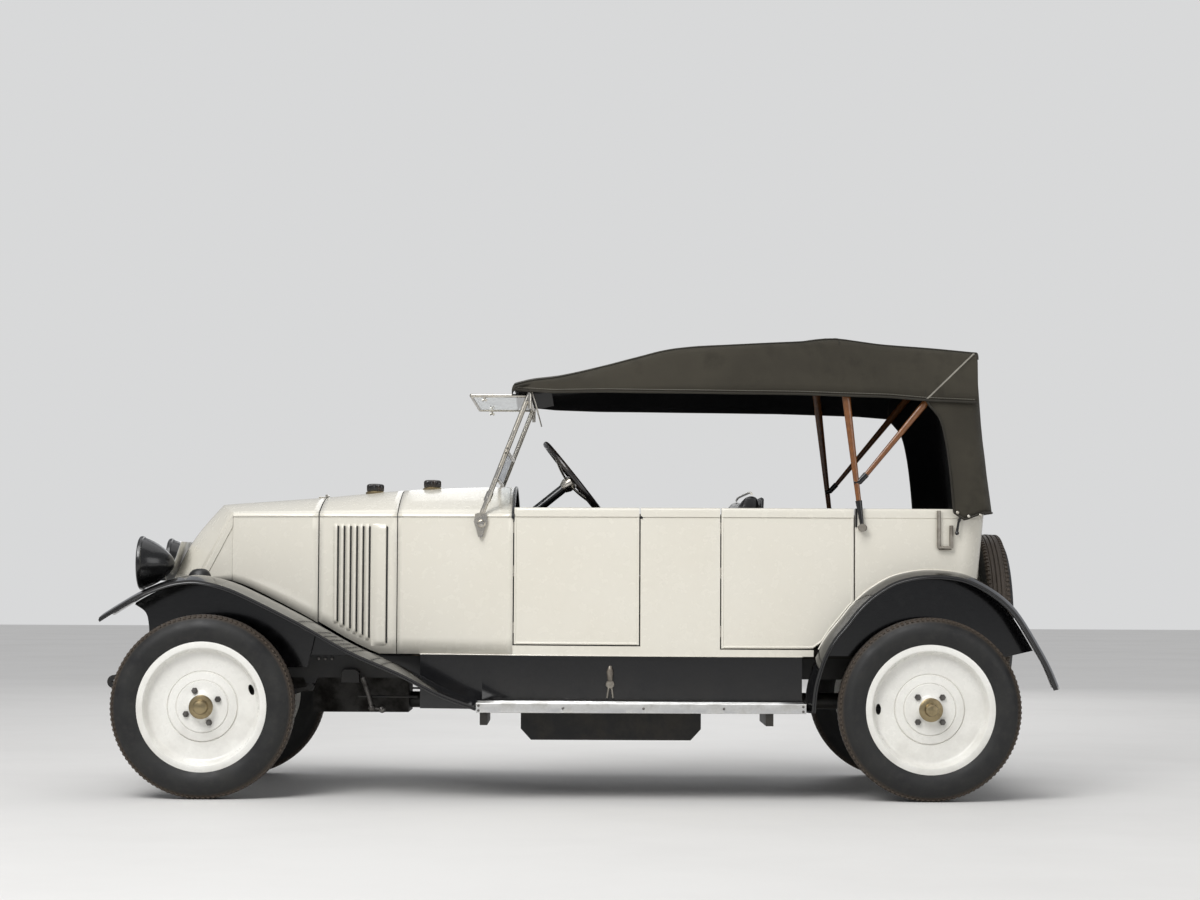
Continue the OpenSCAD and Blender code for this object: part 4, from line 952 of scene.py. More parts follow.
def makeTub():
    shape = newShape()
    outer, inner = [], []
    for x, y, nx, ny, slope in rearPath():
        low = archZ(x) if abs(y) > 0.512 else body["sill"]
        out, back = [], []
        for z, inset, deep in wallRows(low, 0.0):
            shift = slope * (body["tubRearLow"] - body["tubRear"]) * (body["belt"] - z) / (body["belt"] - body["sill"])
            spot = Vector((x + shift, y, z))
            out.append(spot - inset * Vector((nx, ny, 0)))
            back.append(spot - deep * Vector((nx, ny, 0)))
        outer.append(out)
        inner.append(back)
    addShell(shape, outer, inner)
    middle = newShape()
    sideWall(middle, spread(door["frontX"] + door["frontLength"], door["rearX"], 10), lambda x: body["sill"],
             body["swageRise"])
    frontSill = [(x, body["sill"], door["frontSill"]) for x in spread(door["frontX"], door["frontX"] + door["frontLength"], 10)]
    rearSill = [(x, max(body["sill"], archZ(x)), door["rearSill"]) for x in spread(door["rearX"], 0.945, 8)]
    for strip in (frontSill, rearSill):
        out = [[Vector((x, -beltHalf(x), mix(low, high, t))) for t in spread(0, 1, 3)] for x, low, high in strip
               if high > low + 0.002]
        back = [[p + Vector((0, body["wall"], 0)) for p in row] for row in out]
        addShell(middle, out, back)
    start = len(shape["verts"])
    count = len(middle["verts"])
    for flip in (1, -1):
        shape["verts"] += [(x, y * flip, z) for x, y, z in middle["verts"]]
        shape["pattern"] += middle["pattern"]
        shape["faces"] += [tuple(k + start for k in (f if flip > 0 else f[::-1])) for f in middle["faces"]]
        shape["mats"] += middle["mats"]
        start += count
    piece(shape, "tubShell", [creamPaint, blackHide], "car", "body_paint", ["tub"], bevel=0.001)
    shape = newShape()   # cream welt along the arch, and black blocks at the door catches that are painted shade inside their slots
    for side in (-1, 1):
        line = [(p.x, side * (beltHalf(p.x) + 0.001), p.y) for p in archLine if 0.935 < p.x < 1.625 and p.y > 0.585]
        addTube(shape, line, 0.0052, 10)
    piece(shape, "archWelts", [creamPaint], "car", "body_paint")
    # black blocks standing for the painted shade inside the catch slots
    shape = newShape()
    for side in (-1, 1):
        for x in (door["rearX"] + door["rearLength"] + 0.0045, door["frontX"] + door["frontLength"] + 0.004):
            w = beltHalf(x)
            tall = 0.075 if x > 1 else 0.012
            base = 1.090 if x > 1 else 1.120
            addPrism(shape, [(x - 0.004, side * (w - 0.006)), (x + 0.004, side * (w - 0.006)), (x + 0.004, side * (w + 0.0035)),
                             (x - 0.004, side * (w + 0.0035))], base, base + tall, "Z")
    piece(shape, "catchSlots", [ironBlack], "car", "black_iron", bevel=0.0012)


makeTub()
print("tub and doors made")


# ---- wings ----
def wingSection(across):   # height over the wing's edge at a share of its width
    return wing["crown"] * math.sin(math.pi * min(across, wing["hold"]))


def makeWings():
    steps = [0, 0.03, 0.07, 0.12, 0.2, 0.3, 0.4, 0.5, 0.6, 0.7, 0.78, 0.86, 0.93, 1]
    shape = newShape()
    lips = newShape()
    for side in (-1, 1):
        rows = []
        for p in frontWingLine:
            inner = max(wing["frontInner"], beltHalf(p.x) + 0.006)
            row = [(p.x, side * wing["outer"], p.y - wing["lip"])]
            rows.append([Vector(q) for q in row + [(p.x, side * mix(wing["outer"], inner, u), p.y + wingSection(u))
                                                   for u in steps]])
        addGrid(shape, rows, 0, flip=side < 0)
        addTube(lips, [(p.x, side * (wing["outer"] - 0.004), p.y - wing["lip"]) for p in frontWingLine], wing["bead"], 10)
        rows = []
        for p in rearWingLine:
            up = fromAxle(p)
            row = [p - up * wing["lip"]] + [p + up * wingSection(u) for u in steps]
            ys = [wing["outer"]] + [mix(wing["outer"], wing["rearInner"], u) for u in steps]
            rows.append([Vector((q.x, side * y, q.y)) for q, y in zip(row, ys)])
        addGrid(shape, rows, 0, flip=side < 0)
        edge = [p - fromAxle(p) * wing["lip"] for p in rearWingLine]
        addTube(lips, [(p.x, side * (wing["outer"] - 0.004), p.y) for p in edge], wing["bead"], 10)
    piece(shape, "wingSheets", [wingBlack], "car", "black_paint", ["front_wings", "rear_wings"], thick=wing["sheet"])
    piece(lips, "wingBeads", [wingBlack], "car", "black_paint")


def catwalkZ(x):   # the strip between bonnet and wing stays under the open bonnet's path
    low = hinge[1] - bonnetLow(body["bonnetRear"])
    away = min(low, hinge[0] - x + 0.008)
    return min(hinge[1] - math.sqrt(low ** 2 - max(0.0, away) ** 2) - 0.015, lookup(frontWingLine, x) - 0.004)


def makeValances():   # upright inner sheets of the wings, and the strips beside the bonnet
    shape = newShape()
    top = [(p.x, p.y + 0.003) for p in frontWingLine if -1.806 < p.x < -1.055]
    frontEdge = curveThrough([(-1.808, 0.764), (-1.764, 0.731), (-1.750, 0.672), (-1.748, 0.600), (-1.728, 0.545)], 6)
    rearEdge = [(p.x, p.y + 0.003) for p in rearWingLine if p.y > 0.575 and p.x < 1.862]
    for side in (-1, 1):
        low, high = sorted((side * 0.352, side * 0.357))
        addPrism(shape, top + [tuple(p) for p in frontEdge] + [(-1.690, 0.512), (-1.103, 0.512)], low, high)
        low, high = sorted((side * 0.521, side * 0.527))
        addPrism(shape, rearEdge + [(0.978, 0.572), (1.725, 0.572)], low, high)
        xs = spread(-1.690, -1.090, 14)
        addGrid(shape, [[(x, side * mix(0.236, 0.357, u), catwalkZ(x)) for u in (0, 0.5, 1)] for x in xs], 0, flip=side < 0)
        # the shield between the chassis rail and the wing, behind the bonnet
        shield = [(x, lookup(frontWingLine, x) + 0.004) for x in spread(-1.100, -0.650, 12)]
        addPrism(shape, shield + [(-0.650, 0.470), (-1.100, 0.470)], *sorted((side * 0.328, side * 0.333)))
    piece(shape, "valances", [wingBlack], "car", "black_paint")


def makeMounds():   # small domed covers beside the foot of the nose
    shape = newShape()
    for side in (-1, 1):
        rows = []
        for v in spread(0, 1, 8):
            swell = math.cos(v * math.pi / 2) ** 0.7 if v < 1 else 0.0
            row = []
            for k in range(20):
                a = 2 * math.pi * k / 20
                row.append((-1.556 + 0.050 * swell * math.cos(a) + 0.004 * v, side * (0.300 + 0.034 * swell * math.sin(a)),
                            0.862 + 0.050 * math.sin(v * math.pi / 2)))
            rows.append(row)
        start = addGrid(shape, rows, 0, closed=True, flip=side < 0)
        addFan(shape, list(range(start, start + 20)), (-1.556, side * 0.300, 0.862))
    piece(shape, "wingMounds", [chassisBlack], "car", "black_paint")


makeWings()
makeValances()
makeMounds()
print("wings made")


# ---- wheels and tyres ----
wheel = {"profile": [[0.0201, -0.008], [0.100, -0.008], [0.104, -0.004], [0.139, 0.004], [0.212, 0.002], [0.220, -0.006],
                     [0.228, -0.020], [0.236, -0.046], [0.247, -0.0475], [0.257, -0.051], [0.2600, -0.0495],
                     [0.2592, -0.0445], [0.250, -0.040], [0.242, -0.038], [0.242, 0.038], [0.250, 0.040],
                     [0.2592, 0.0445], [0.2600, 0.0495], [0.257, 0.051], [0.247, 0.0515], [0.239, 0.0535],
                     [0.2335, 0.0520], [0.229, 0.046], [0.225, 0.034], [0.221, 0.024], [0.217, 0.0165], [0.212, 0.0130],
                     [0.205, 0.0118], [0.160, 0.0118], [0.1425, 0.0122], [0.1398, 0.0085], [0.1360, 0.0160],
                     [0.120, 0.0185], [0.1065, 0.0208], [0.1038, 0.0178], [0.1005, 0.0236], [0.080, 0.0245],
                     [0.060, 0.0265], [0.053, 0.031], [0.0475, 0.040], [0.044, 0.046], [0.0201, 0.050]],
         "nutCircle": 0.0695, "nut": 0.013, "valveAt": 0.204, "valveLong": 0.022, "valveWide": 0.011}
tyre = {"radius": 0.365, "inner": 0.2425, "half": 0.064, "ribs": 3, "blocks": 108, "treadHalf": 0.040}
wheels = [("front_left", -1, "frontX", 25, 19), ("front_right", 1, "frontX", 10, 140),
          ("rear_left", -1, "rearX", 45, 180), ("rear_right", 1, "rearX", 30, 60)]


def tyreProfile():
    half = [(0.2425, 0.030), (0.243, 0.043), (0.252, 0.048), (0.262, 0.0525), (0.275, 0.0585), (0.292, 0.0632),
            (0.308, 0.0640), (0.322, 0.0620), (0.334, 0.0565), (0.345, 0.0490), (0.3535, 0.0425), (0.3585, 0.0385)]
    crown = []
    for k in range(tyre["ribs"]):   # ribs round the middle of the tread, with grooves between them
        a = mix(0.026, -0.026, (k + 0.18) / tyre["ribs"])
        b = mix(0.026, -0.026, (k + 0.82) / tyre["ribs"])
        crown += [(0.3592, a + 0.0022), (0.3640 if k != 1 else 0.3650, a), (0.3640 if k != 1 else 0.3650, b),
                  (0.3592, b - 0.0022)]
    return half + [(0.3592, 0.034)] + crown + [(0.3592, -0.034)] + [(r, -h) for r, h in reversed(half)]


def treadBlock():   # one shoulder block, lying at the origin with its foot inwards
    shape = newShape()
    rows = []
    for x, y0, y1, half in ((-0.004, 0.0305, 0.0470, 0.0068), (0.0005, 0.0300, 0.0462, 0.0062), (0.0048, 0.0310, 0.0402, 0.0056)):
        rows.append([(x, y0, -half), (x, y1, -half * 0.8), (x, y1, half * 0.8), (x, y0, half)])
    start = addGrid(shape, rows, 0, closed=True)
    shape["faces"] += [tuple(start + k for k in (0, 1, 2, 3)), tuple(start + 8 + k for k in (3, 2, 1, 0))]
    shape["mats"] += [0, 0]
    return shape


def patternRound(mesh):   # gives copied blocks the same angle, radius, height pattern as the tyre
    values = []
    for vertex in mesh.vertices:
        x, y, z = vertex.co
        values += [math.atan2(z, x), math.hypot(x, z), y]
    if "pattern" in mesh.attributes:
        mesh.attributes.remove(mesh.attributes["pattern"])
    mesh.attributes.new("pattern", "FLOAT_VECTOR", "POINT").data.foreach_set("vector", values)


def makeTyreMesh():
    shape = newShape()
    addTurned(shape, tyreProfile(), sides=120)
    body_ = toMesh(shape, "tyreBody")
    near = copiesRound("treadNear", treadBlock(), tyre["blocks"], 0.3585, rubber)
    far = mirrored(copiesRound("treadFar", treadBlock(), tyre["blocks"], 0.3585, rubber, math.pi / tyre["blocks"]))
    whole = joinMeshes("tyre", [body_, near, far])
    patternRound(whole)
    return whole


def nutShape():
    shape = newShape()
    r = wheel["nut"]
    for radius, low, high in ((r, 0.0, 0.011), (r * 0.55, 0.011, 0.019)):
        sides = 6 if radius == r else 12
        addPrism(shape, [(radius * math.cos(2 * math.pi * k / sides), radius * math.sin(2 * math.pi * k / sides))
                         for k in range(sides)], low, high, "Z")
    return shape


def makeWheelMesh(valveAngle):   # turned disc with a hole for the valve; its outside is -Y
    shape = newShape()
    addTurned(shape, [(r, -h) for r, h in wheel["profile"]], sides=128)
    work = showMesh(toMesh(shape, "disc"), "disc", [wheelWhite])
    cutter = newShape()
    turn = math.radians(valveAngle)
    ring = []
    for k in range(24):
        a = 2 * math.pi * k / 24
        u, v = wheel["valveWide"] * math.cos(a), wheel["valveLong"] * math.sin(a)
        r = wheel["valveAt"] + u
        ring.append((r * math.cos(turn) - v * math.sin(turn), r * math.sin(turn) + v * math.cos(turn)))
    addPrism(cutter, ring, -0.08, 0.08)
    tool = showMesh(toMesh(cutter, "valveCut"), "valveCut", [wheelWhite])
    cut = work.modifiers.new("valve", "BOOLEAN")
    cut.object, cut.solver = tool, "EXACT"
    bpy.context.view_layer.update()
    mesh = bpy.data.meshes.new_from_object(work.evaluated_get(bpy.context.evaluated_depsgraph_get()))
    bpy.data.objects.remove(work)
    bpy.data.objects.remove(tool)
    return mesh


def hubShape(front):   # hub cap in front of the disc; the outside is -Y
    shape = newShape()
    if front:
        profile = [[0.018, -0.045], [0.044, -0.048], [0.0475, -0.052], [0.0475, -0.060], [0.043, -0.064], [0.030, -0.066],
                   [0.0285, -0.070], [0.028, -0.078], [0.024, -0.084], [0.014, -0.087], [0.0002, -0.088], [0.0002, -0.045]]
    else:
        profile = [[0.018, -0.045], [0.044, -0.047], [0.0475, -0.050], [0.0475, -0.055], [0.042, -0.058], [0.0265, -0.060],
                   [0.0245, -0.066], [0.0245, -0.090], [0.022, -0.096], [0.014, -0.099], [0.0002, -0.100], [0.0002, -0.045]]
    addTurned(shape, profile, sides=64)
    return shape


def putWheel(mesh, side, x, name, materials, body_, slot, nodes=(), spare=False):
    if spare:   # stands across the tail with its outside to the rear
        matrix = Matrix.Translation((1.730, 0, 0.708)) @ Matrix.Rotation(math.radians(90), 4, "Z")
    else:
        matrix = Matrix.Translation((x, side * wheelAt["y"], wheelAt["z"]))
        if side > 0:
            matrix = matrix @ Matrix.Rotation(math.pi, 4, "Z")
    copy = mesh.copy()
    copy.materials.clear()
    copy.transform(matrix)
    return place(showMesh(copy, name, materials, 32), body_, slot, nodes)


def makeWheels():
    tyreMesh = makeTyreMesh()
    for word, side, key, nutTurn, valveTurn in wheels:
        x = wheelAt[key]
        disc = makeWheelMesh(valveTurn)
        spots = [((wheel["nutCircle"] * math.cos(math.radians(nutTurn + 90 * k)), -0.0235,
                   wheel["nutCircle"] * math.sin(math.radians(nutTurn + 90 * k))), turnTo((0, -1, 0)), (1, 1, 1))
                 for k in range(4)]
        nuts = copiesOnPoints("nuts", nutShape(), spots, steelDark)
        hub = toMesh(hubShape(key == "frontX"), "hub")
        carried = f"{word}_wheel"
        putWheel(disc, side, x, word + "Disc", [wheelWhite], carried, "wheel_paint", [f"{word}_wheel"])
        putWheel(tyreMesh, side, x, word + "Tyre", [rubber], carried, "tyre", [f"{word}_tyre"])
        putWheel(nuts, side, x, word + "Nuts", [steelDark], carried, "nickel")
        putWheel(hub, side, x, word + "Hub", [brassOld], carried, "nickel")
    disc = makeWheelMesh(70)
    putWheel(disc, 0, 0, "spareDisc", [wheelWhite], "car", "wheel_paint", ["spare_wheel"], spare=True)
    putWheel(tyreMesh, 0, 0, "spareTyre", [rubber], "car", "tyre", ["spare_tyre"], spare=True)


makeWheels()
print("wheels made")


# ---- canvas top ----
top = {"line": [[1.594, 1.796], [1.420, 1.812], [1.226, 1.826], [1.130, 1.838], [1.033, 1.850], [0.960, 1.846], [0.897, 1.838],
                [0.700, 1.828], [0.402, 1.808], [0.240, 1.771], [0.092, 1.732], [-0.075, 1.697], [-0.187, 1.685],
                [-0.262, 1.668]],
       "valance": [[-0.273, 1.640], [-0.102, 1.627], [0.366, 1.624], [0.888, 1.620], [1.248, 1.610], [1.396, 1.598],
                   [1.600, 1.590]],
       "half": 0.592, "frontHalf": 0.470, "widensTo": 0.092, "camber": 0.034, "cloth": 0.004, "front": -0.262, "rear": 1.594,
       "quarter": [[1.150, 1.506], [1.165, 1.504], [1.314, 1.491], [1.436, 1.474], [1.531, 1.448], [1.600, 1.396],
                   [1.700, 1.396]],
       "back": [[1.110, 1.670], [1.165, 1.664], [1.436, 1.628], [1.670, 1.612], [1.800, 1.597]], "backCorner": 0.050,
       "sag": 0.006, "hangs": 0.0025}
topLine = curveThrough([Vector(p) for p in top["line"]], 4)


def topZ(x):
    return lookup(topLine, x)


def topHalf(x):
    t = min(1.0, max(0.0, (x - top["front"]) / (top["widensTo"] - top["front"])))
    return mix(top["frontHalf"], top["half"], t)


def roofRow(x, drop=0.0, ahead=0.0):
    w, z, low = topHalf(x), topZ(x) - drop, lookup(top["valance"], x)
    wave = top["hangs"] * math.sin(x * 17.0)
    half = [(-w - 0.006 - wave, low), (-w - 0.005 - wave * 0.7, mix(low, z, 0.2)), (-w - 0.004 - wave * 0.4, mix(low, z, 0.45)),
            (-w - 0.002, mix(low, z, 0.7)), (-w, z - 0.026), (-w + 0.003, z - 0.015), (-w + 0.009, z - 0.007),
            (-w + 0.018, z - 0.002), (-w + 0.030, z)]
    bay = abs(math.sin(math.pi * (x - 1.045) / 0.56)) if x > 0.4 else 0.4
    for f in spread(1, 0, 14)[1:]:
        half.append((-(w - 0.030) * f, z + (top["camber"] - top["sag"] * bay) * (1 - f * f)))
    return [Vector((x + ahead, y, h)) for y, h in half] + [Vector((x + ahead, -y, h)) for y, h in half[-2::-1]]


def curtainColumn(y, share, across):   # one upright line of the rear cloth: across 0 at the side's front edge
    if across < 1:
        low = mix(1.150, 1.122, min(1, across / 0.35)) if across < 0.35 else mix(1.122, 1.150, (across - 0.35) / 0.65)
    else:
        low = 1.150
    high = mix(1.680, topZ(top["rear"]) - 0.006 + top["camber"] * (1 - (y / 0.562) ** 2) * (1 if abs(y) < 0.562 else 0), share)
    return low, high


def curtainRows():
    columns = []
    r = top["backCorner"]
    for k in range(11):
        columns.append(("side", k / 11 * 0.94))
    for a in (15, 35, 55, 75):
        columns.append(("corner", a))
    for f in spread(1, 0, 9):
        columns.append(("back", f))
    full = [(c, -1) for c in columns] + [(c, 1) for c in columns[-2::-1]]
    rows = []
    for t in spread(0, 1, 26):
        row = []
        for (kind, v), side in full:
            if kind == "side":
                low, high = curtainColumn(0.590, 0, v)
                z = mix(high, low, t)
                x0, x1 = follow(top["quarter"], z), lookup(top["back"], z) - r
                x, y = mix(x0, x1, v / 0.94), 0.590
            elif kind == "corner":
                low, high = curtainColumn(0.590, v / 90, 1)
                z = mix(high, low, t)
                turn = math.radians(v)
                x = lookup(top["back"], z) - r + r * math.sin(turn)
                y = 0.590 - r + r * math.cos(turn)
            else:
                y = (0.590 - r) * v
                low, high = curtainColumn(y, 1, 1)
                z = mix(high, low, t)
                x = lookup(top["back"], z)
                x -= 0.005 * (1 - v * v) * math.sin(math.pi * t)
            pull = top["hangs"] * math.sin(13 * z + 4 * y) * math.sin(math.pi * t)
            row.append(Vector((x + pull * (kind == "back"), side * (y + pull * (kind == "side")), z)))
        rows.append(row)
    return rows


def clothPattern(rows):   # distance along and across the cloth, for its weave
    out = []
    run = [0.0] * len(rows[0])
    for i, row in enumerate(rows):
        if i:
            run = [a + (p - q).length for a, p, q in zip(run, row, rows[i - 1])]
        mid = len(row) // 2
        across = [0.0] * len(row)
        for j in range(mid + 1, len(row)):
            across[j] = across[j - 1] + (row[j] - row[j - 1]).length
        for j in range(mid - 1, -1, -1):
            across[j] = across[j + 1] - (row[j + 1] - row[j]).length
        out.append([(a, b, 0.0) for a, b in zip(across, run)])
    return out


def makeCanvasTop():
    stations = [top["front"] + 0.0] + [x for x in spread(-0.240, 1.585, 60)]
    rows = [roofRow(top["front"], 0.022, -0.011), roofRow(top["front"], 0.010, -0.009), roofRow(top["front"], 0.002, -0.004)]
    rows += [roofRow(x) for x in stations]
    rows += [roofRow(top["rear"], 0.001, 0.0), roofRow(top["rear"], 0.006, 0.006), roofRow(top["rear"], 0.020, 0.009)]
    shape = newShape()
    addGrid(shape, rows, 0, clothPattern(rows))
    back = curtainRows()
    addGrid(shape, back, 0, clothPattern(back))
    mesh = toMesh(shape, "canvasTop")
    area = sum(p.area for p in mesh.polygons)
    obj = showMesh(mesh, "canvasTop", [canvas, canvasLining], 50)
    wall = obj.modifiers.new("cloth", "SOLIDIFY")
    wall.thickness, wall.offset, wall.material_offset = top["cloth"], -1, 1
    place(obj, "car", "top_canvas", ["canvas_top"])
    shape = newShape()   # header rail under the front edge, and the bindings and seams
    addPrism(shape, [(-0.266, 1.650), (-0.244, 1.6295), (-0.160, 1.6295), (-0.110, 1.640), (-0.140, 1.662), (-0.245, 1.652)],
             -0.452, 0.452, "Y")
    piece(shape, "topHeader", [canvasLining], "car", "top_canvas", bevel=0.003)
    shape = newShape()
    for side in (-1, 1):
        low = [(x, side * (topHalf(x) + 0.0085 + top["hangs"] * math.sin(x * 17.0)), lookup(top["valance"], x) + 0.002)
               for x in spread(-0.262, 1.600, 60)]
        addTube(shape, low, 0.0042, 8)
        edge = [(x, side * (topHalf(x) - 0.0105), topZ(x) - 0.0035) for x in spread(-0.262, 1.600, 60)]
        addTube(shape, edge, 0.0035, 8, flat=0.8)
        quarter = [(follow(top["quarter"], z), side * 0.5925, z) for z in spread(1.150, 1.640, 24)]
        addTube(shape, quarter, 0.0042, 8)
    for side in (-1, 1):   # piped end of the front rail
        oval = [(-0.214 + 0.047 * math.cos(a), side * (topHalf(-0.214) + 0.0065), 1.653 + 0.010 * math.sin(a) + 0.006 * math.cos(a))
                for a in (2 * math.pi * k / 32 for k in range(32))]
        addTube(shape, oval, 0.0034, 8, up=(0, 1, 0), loop=True)
    addTube(shape, [(p.x, p.y, p.z) for p in roofRow(1.045)[4:-4]], 0.0036, 8, flat=0.4)
    addTube(shape, [(p.x + 0.002, p.y, p.z) for p in roofRow(top["rear"], 0.004, 0.006)[4:-4]], 0.0046, 8)
    for row_ in (curtainRows()[-1],):
        addTube(shape, [(p.x, p.y * 1.003, p.z) for p in row_], 0.0044, 8)
    piece(shape, "topBindings", [canvasBinding], "car", "top_canvas")
    return area


def studShape(radius, high):
    shape = newShape()
    rows = []
    for r, h in ((radius, 0), (radius, high * 0.3), (radius * 0.82, high * 0.75), (radius * 0.45, high)):
        rows.append([(r * math.cos(2 * math.pi * k / 12), r * math.sin(2 * math.pi * k / 12), h) for k in range(12)])
    start = addGrid(shape, rows, 0, closed=True, flip=True)
    addFan(shape, [start + 36 + k for k in range(12)], (0, 0, high))
    return shape


def makeTopFastenings():   # studs of the curtain, and the pale worn stitches of the quarter seam
    spots = []
    for side in (-1, 1):
        spots += [((x, side * 0.5915, z), turnTo((0, side, 0)), (1, 1, 1)) for x, z in ((1.520, 1.150), (1.565, 1.135), (1.612, 1.140))]
    spots += [((1.667, y, 1.163), turnTo((1, 0, 0)), (1, 1, 1)) for y in spread(-0.48, 0.48, 8)]
    showCopies(copiesOnPoints("canvasStuds", studShape(0.0075, 0.005), spots, nickel), "canvasStuds", "car", "nickel")
    stitch = newShape()
    addBox(stitch, (-0.0009, -0.0035, -0.0006), (0.0009, 0.0035, 0.0006))
    spots = []
    for side in (-1, 1):
        for x in spread(-0.245, 1.585, 170):
            spots.append(((x, side * (topHalf(x) + 0.0055 + 0.7 * top["hangs"] * math.sin(x * 17.0)), lookup(top["valance"], x) + 0.014),
                          (math.radians(0), 0, math.radians(90)), (1, 1, 1)))
        for t in spread(0.02, 0.98, 90):
            x = mix(1.396, 1.590, t)
            z = mix(1.604, 1.792, t)
            spots.append(((x, side * (0.5975 - 0.003 * t), z), (math.radians(0), math.radians(-44), math.radians(90)), (1, 1.2, 1)))
    showCopies(copiesOnPoints("topStitches", stitch, spots, threadPale), "topStitches", "car", "top_canvas")


makeCanvasTop()
makeTopFastenings()
print("canvas top made")


# ---- bows, irons and their fittings ----
bow = {"halfWide": [0.010, 0.0195], "thick": 0.011, "y": 0.586}


def strut(shape, foot, head, wide, thick, mat=0, ends=10, ys=(0, 0)):   # tapering flat bar with rounded edges
    foot, head = Vector(foot), Vector(head)
    line = [foot.lerp(head, t) for t in spread(0, 1, ends)]
    radii = [mix(wide[0], wide[1], t) for t in spread(0, 1, ends)]
    addTube(shape, line, radii, 16, mat, flat=thick / wide[1], up=(0, 1, 0))


def makeBows():
    wood, iron = newShape(), newShape()
    bars = newShape()
    for side in (-1, 1):
        for foot, head, wide in (((1.126, side * 0.584, 1.180), (1.054, side * 0.562, 1.800), bow["halfWide"]),
                                 ((1.144, side * 0.578, 1.287), (1.538, side * 0.562, 1.765), [0.0095, 0.017])):
            strut(wood, foot, head, wide, bow["thick"])
        strut(iron, (1.1375, side * 0.588, 1.096), (1.124, side * 0.584, 1.196), [0.0075, 0.0135], 0.008)
        addTube(iron, [(1.143, side * y, 1.087) for y in (0.560, 0.575, 0.590, 0.598)], [0.008, 0.014, 0.0145, 0.006], 20)
        addTube(iron, [(1.106, side * 0.580, 1.266), (1.128, side * 0.5795, 1.272), (1.156, side * 0.5775, 1.302)],
                [0.0105, 0.0115, 0.0125], 16, flat=0.7, up=(0, 1, 0))
    for x, z in ((1.054, topZ(1.054) - 0.022), (1.540, topZ(1.540) - 0.022)):
        line = [(x, y, z + 0.030 * (1 - (y / 0.56) ** 2)) for y in spread(-0.562, 0.562, 24)]
        addTube(bars, line, 0.012, 14, flat=0.8)
    piece(wood, "bowStruts", [bowWood], "car", "bow_wood", ["top_bows"])
    piece(bars, "bowRails", [bowWood], "car", "bow_wood")
    piece(iron, "bowIrons", [ironBlack], "car", "black_iron")
    shape = newShape()
    for side in (-1, 1):   # clamp lever that holds the folded top
        y = side * (beltHalf(1.54) + 0.020)
        addTube(shape, [(1.520, y, 1.072), (1.526, y, 1.110), (1.540, y, 1.150), (1.552, y, 1.192)], [0.0055, 0.005, 0.005, 0.0055], 12)
        for x, z in ((1.520, 1.068), (1.553, 1.196)):
            addTurned(shape, [[0.0002, -0.009], [0.006, -0.0065], [0.009, 0], [0.006, 0.0065], [0.0002, 0.009]],
                      (x, y, z), "Z", 16, closed=False)
        addTube(shape, [(1.530, side * beltHalf(1.54), 1.120), (1.530, y, 1.120)], 0.006, 12)
    piece(shape, "clampLevers", [ironBlack], "car", "black_iron")


makeBows()
print("bows made")


# ---- seats ----
seats = {"front": {"cushion": [(0.140, 0.590), (0.755, 0.880)], "half": 0.484,
                   "back": [(0.606, 0.905), (0.668, 1.205), (0.700, 1.222), (0.728, 1.208), (0.700, 0.905)]},
         "rear": {"cushion": [(1.066, 1.470), (0.760, 0.880)], "half": 0.484,
                  "back": [(1.500, 0.900), (1.540, 1.150), (1.572, 1.160), (1.582, 1.130), (1.560, 0.900)]},
         "voxel": 0.013, "pressure": 4.0, "cap": 0.014, "steps": 20, "pleats": 9, "pleatDepth": 0.006, "pleatWidth": 0.010}


def inflate(obj, cap):   # swells a closed shape with cloth pressure and keeps the result
    remesh = obj.modifiers.new("even", "REMESH")
    remesh.mode, remesh.voxel_size = "VOXEL", seats["voxel"]
    bpy.context.view_layer.update()
    even = bpy.data.meshes.new_from_object(obj.evaluated_get(bpy.context.evaluated_depsgraph_get()))
    obj.modifiers.clear()
    obj.data = even
    start = [v.co.copy() for v in even.vertices]
    soft = obj.modifiers.new("swell", "CLOTH")
    soft.settings.use_pressure = True
    soft.settings.uniform_pressure_force = seats["pressure"]
    soft.settings.effector_weights.gravity = 0
    soft.settings.quality = 5
    soft.point_cache.frame_start, soft.point_cache.frame_end = 1, seats["steps"]
    for step in range(1, seats["steps"] + 1):
        scene.frame_set(step)
    swollen = obj.evaluated_get(bpy.context.evaluated_depsgraph_get()).to_mesh()
    moved = [v.co.copy() for v in swollen.vertices]
    obj.modifiers.remove(soft)
    for vertex, a, b in zip(even.vertices, start, moved):
        step_ = b - a
        vertex.co = a + step_ * (min(1.0, cap / step_.length) if step_.length > 1e-9 else 0.0)
    scene.frame_set(1)
    return obj


def padPiece(name, shape, pleated, rule, leather):   # a stuffed pad with sewn channels
    mesh = toMesh(shape, name)
    obj = bpy.data.objects.new(name, mesh)
    scene.collection.objects.link(obj)
    inflate(obj, seats["cap"])
    half = seats["front"]["half"]
    pitch = 2 * half / seats["pleats"]
    for vertex in obj.data.vertices:
        if not pleated:
            break
        offset = ((vertex.co.y + half) / pitch) % 1.0
        near = min(offset, 1 - offset) * pitch
        dent = seats["pleatDepth"] * math.exp(-(near / seats["pleatWidth"]) ** 2)
        if abs(vertex.co.y) < half - 0.02:
            push = rule(vertex.co)
            vertex.co = vertex.co + Vector(push) * dent
    obj.data.materials.clear()
    obj.data.materials.append(leather)
    obj.data.polygons.foreach_set("material_index", [0] * len(obj.data.polygons))
    obj.data.shade_smooth()
    smooth = obj.modifiers.new("fine", "SUBSURF")
    smooth.levels = smooth.render_levels = 1
    return obj


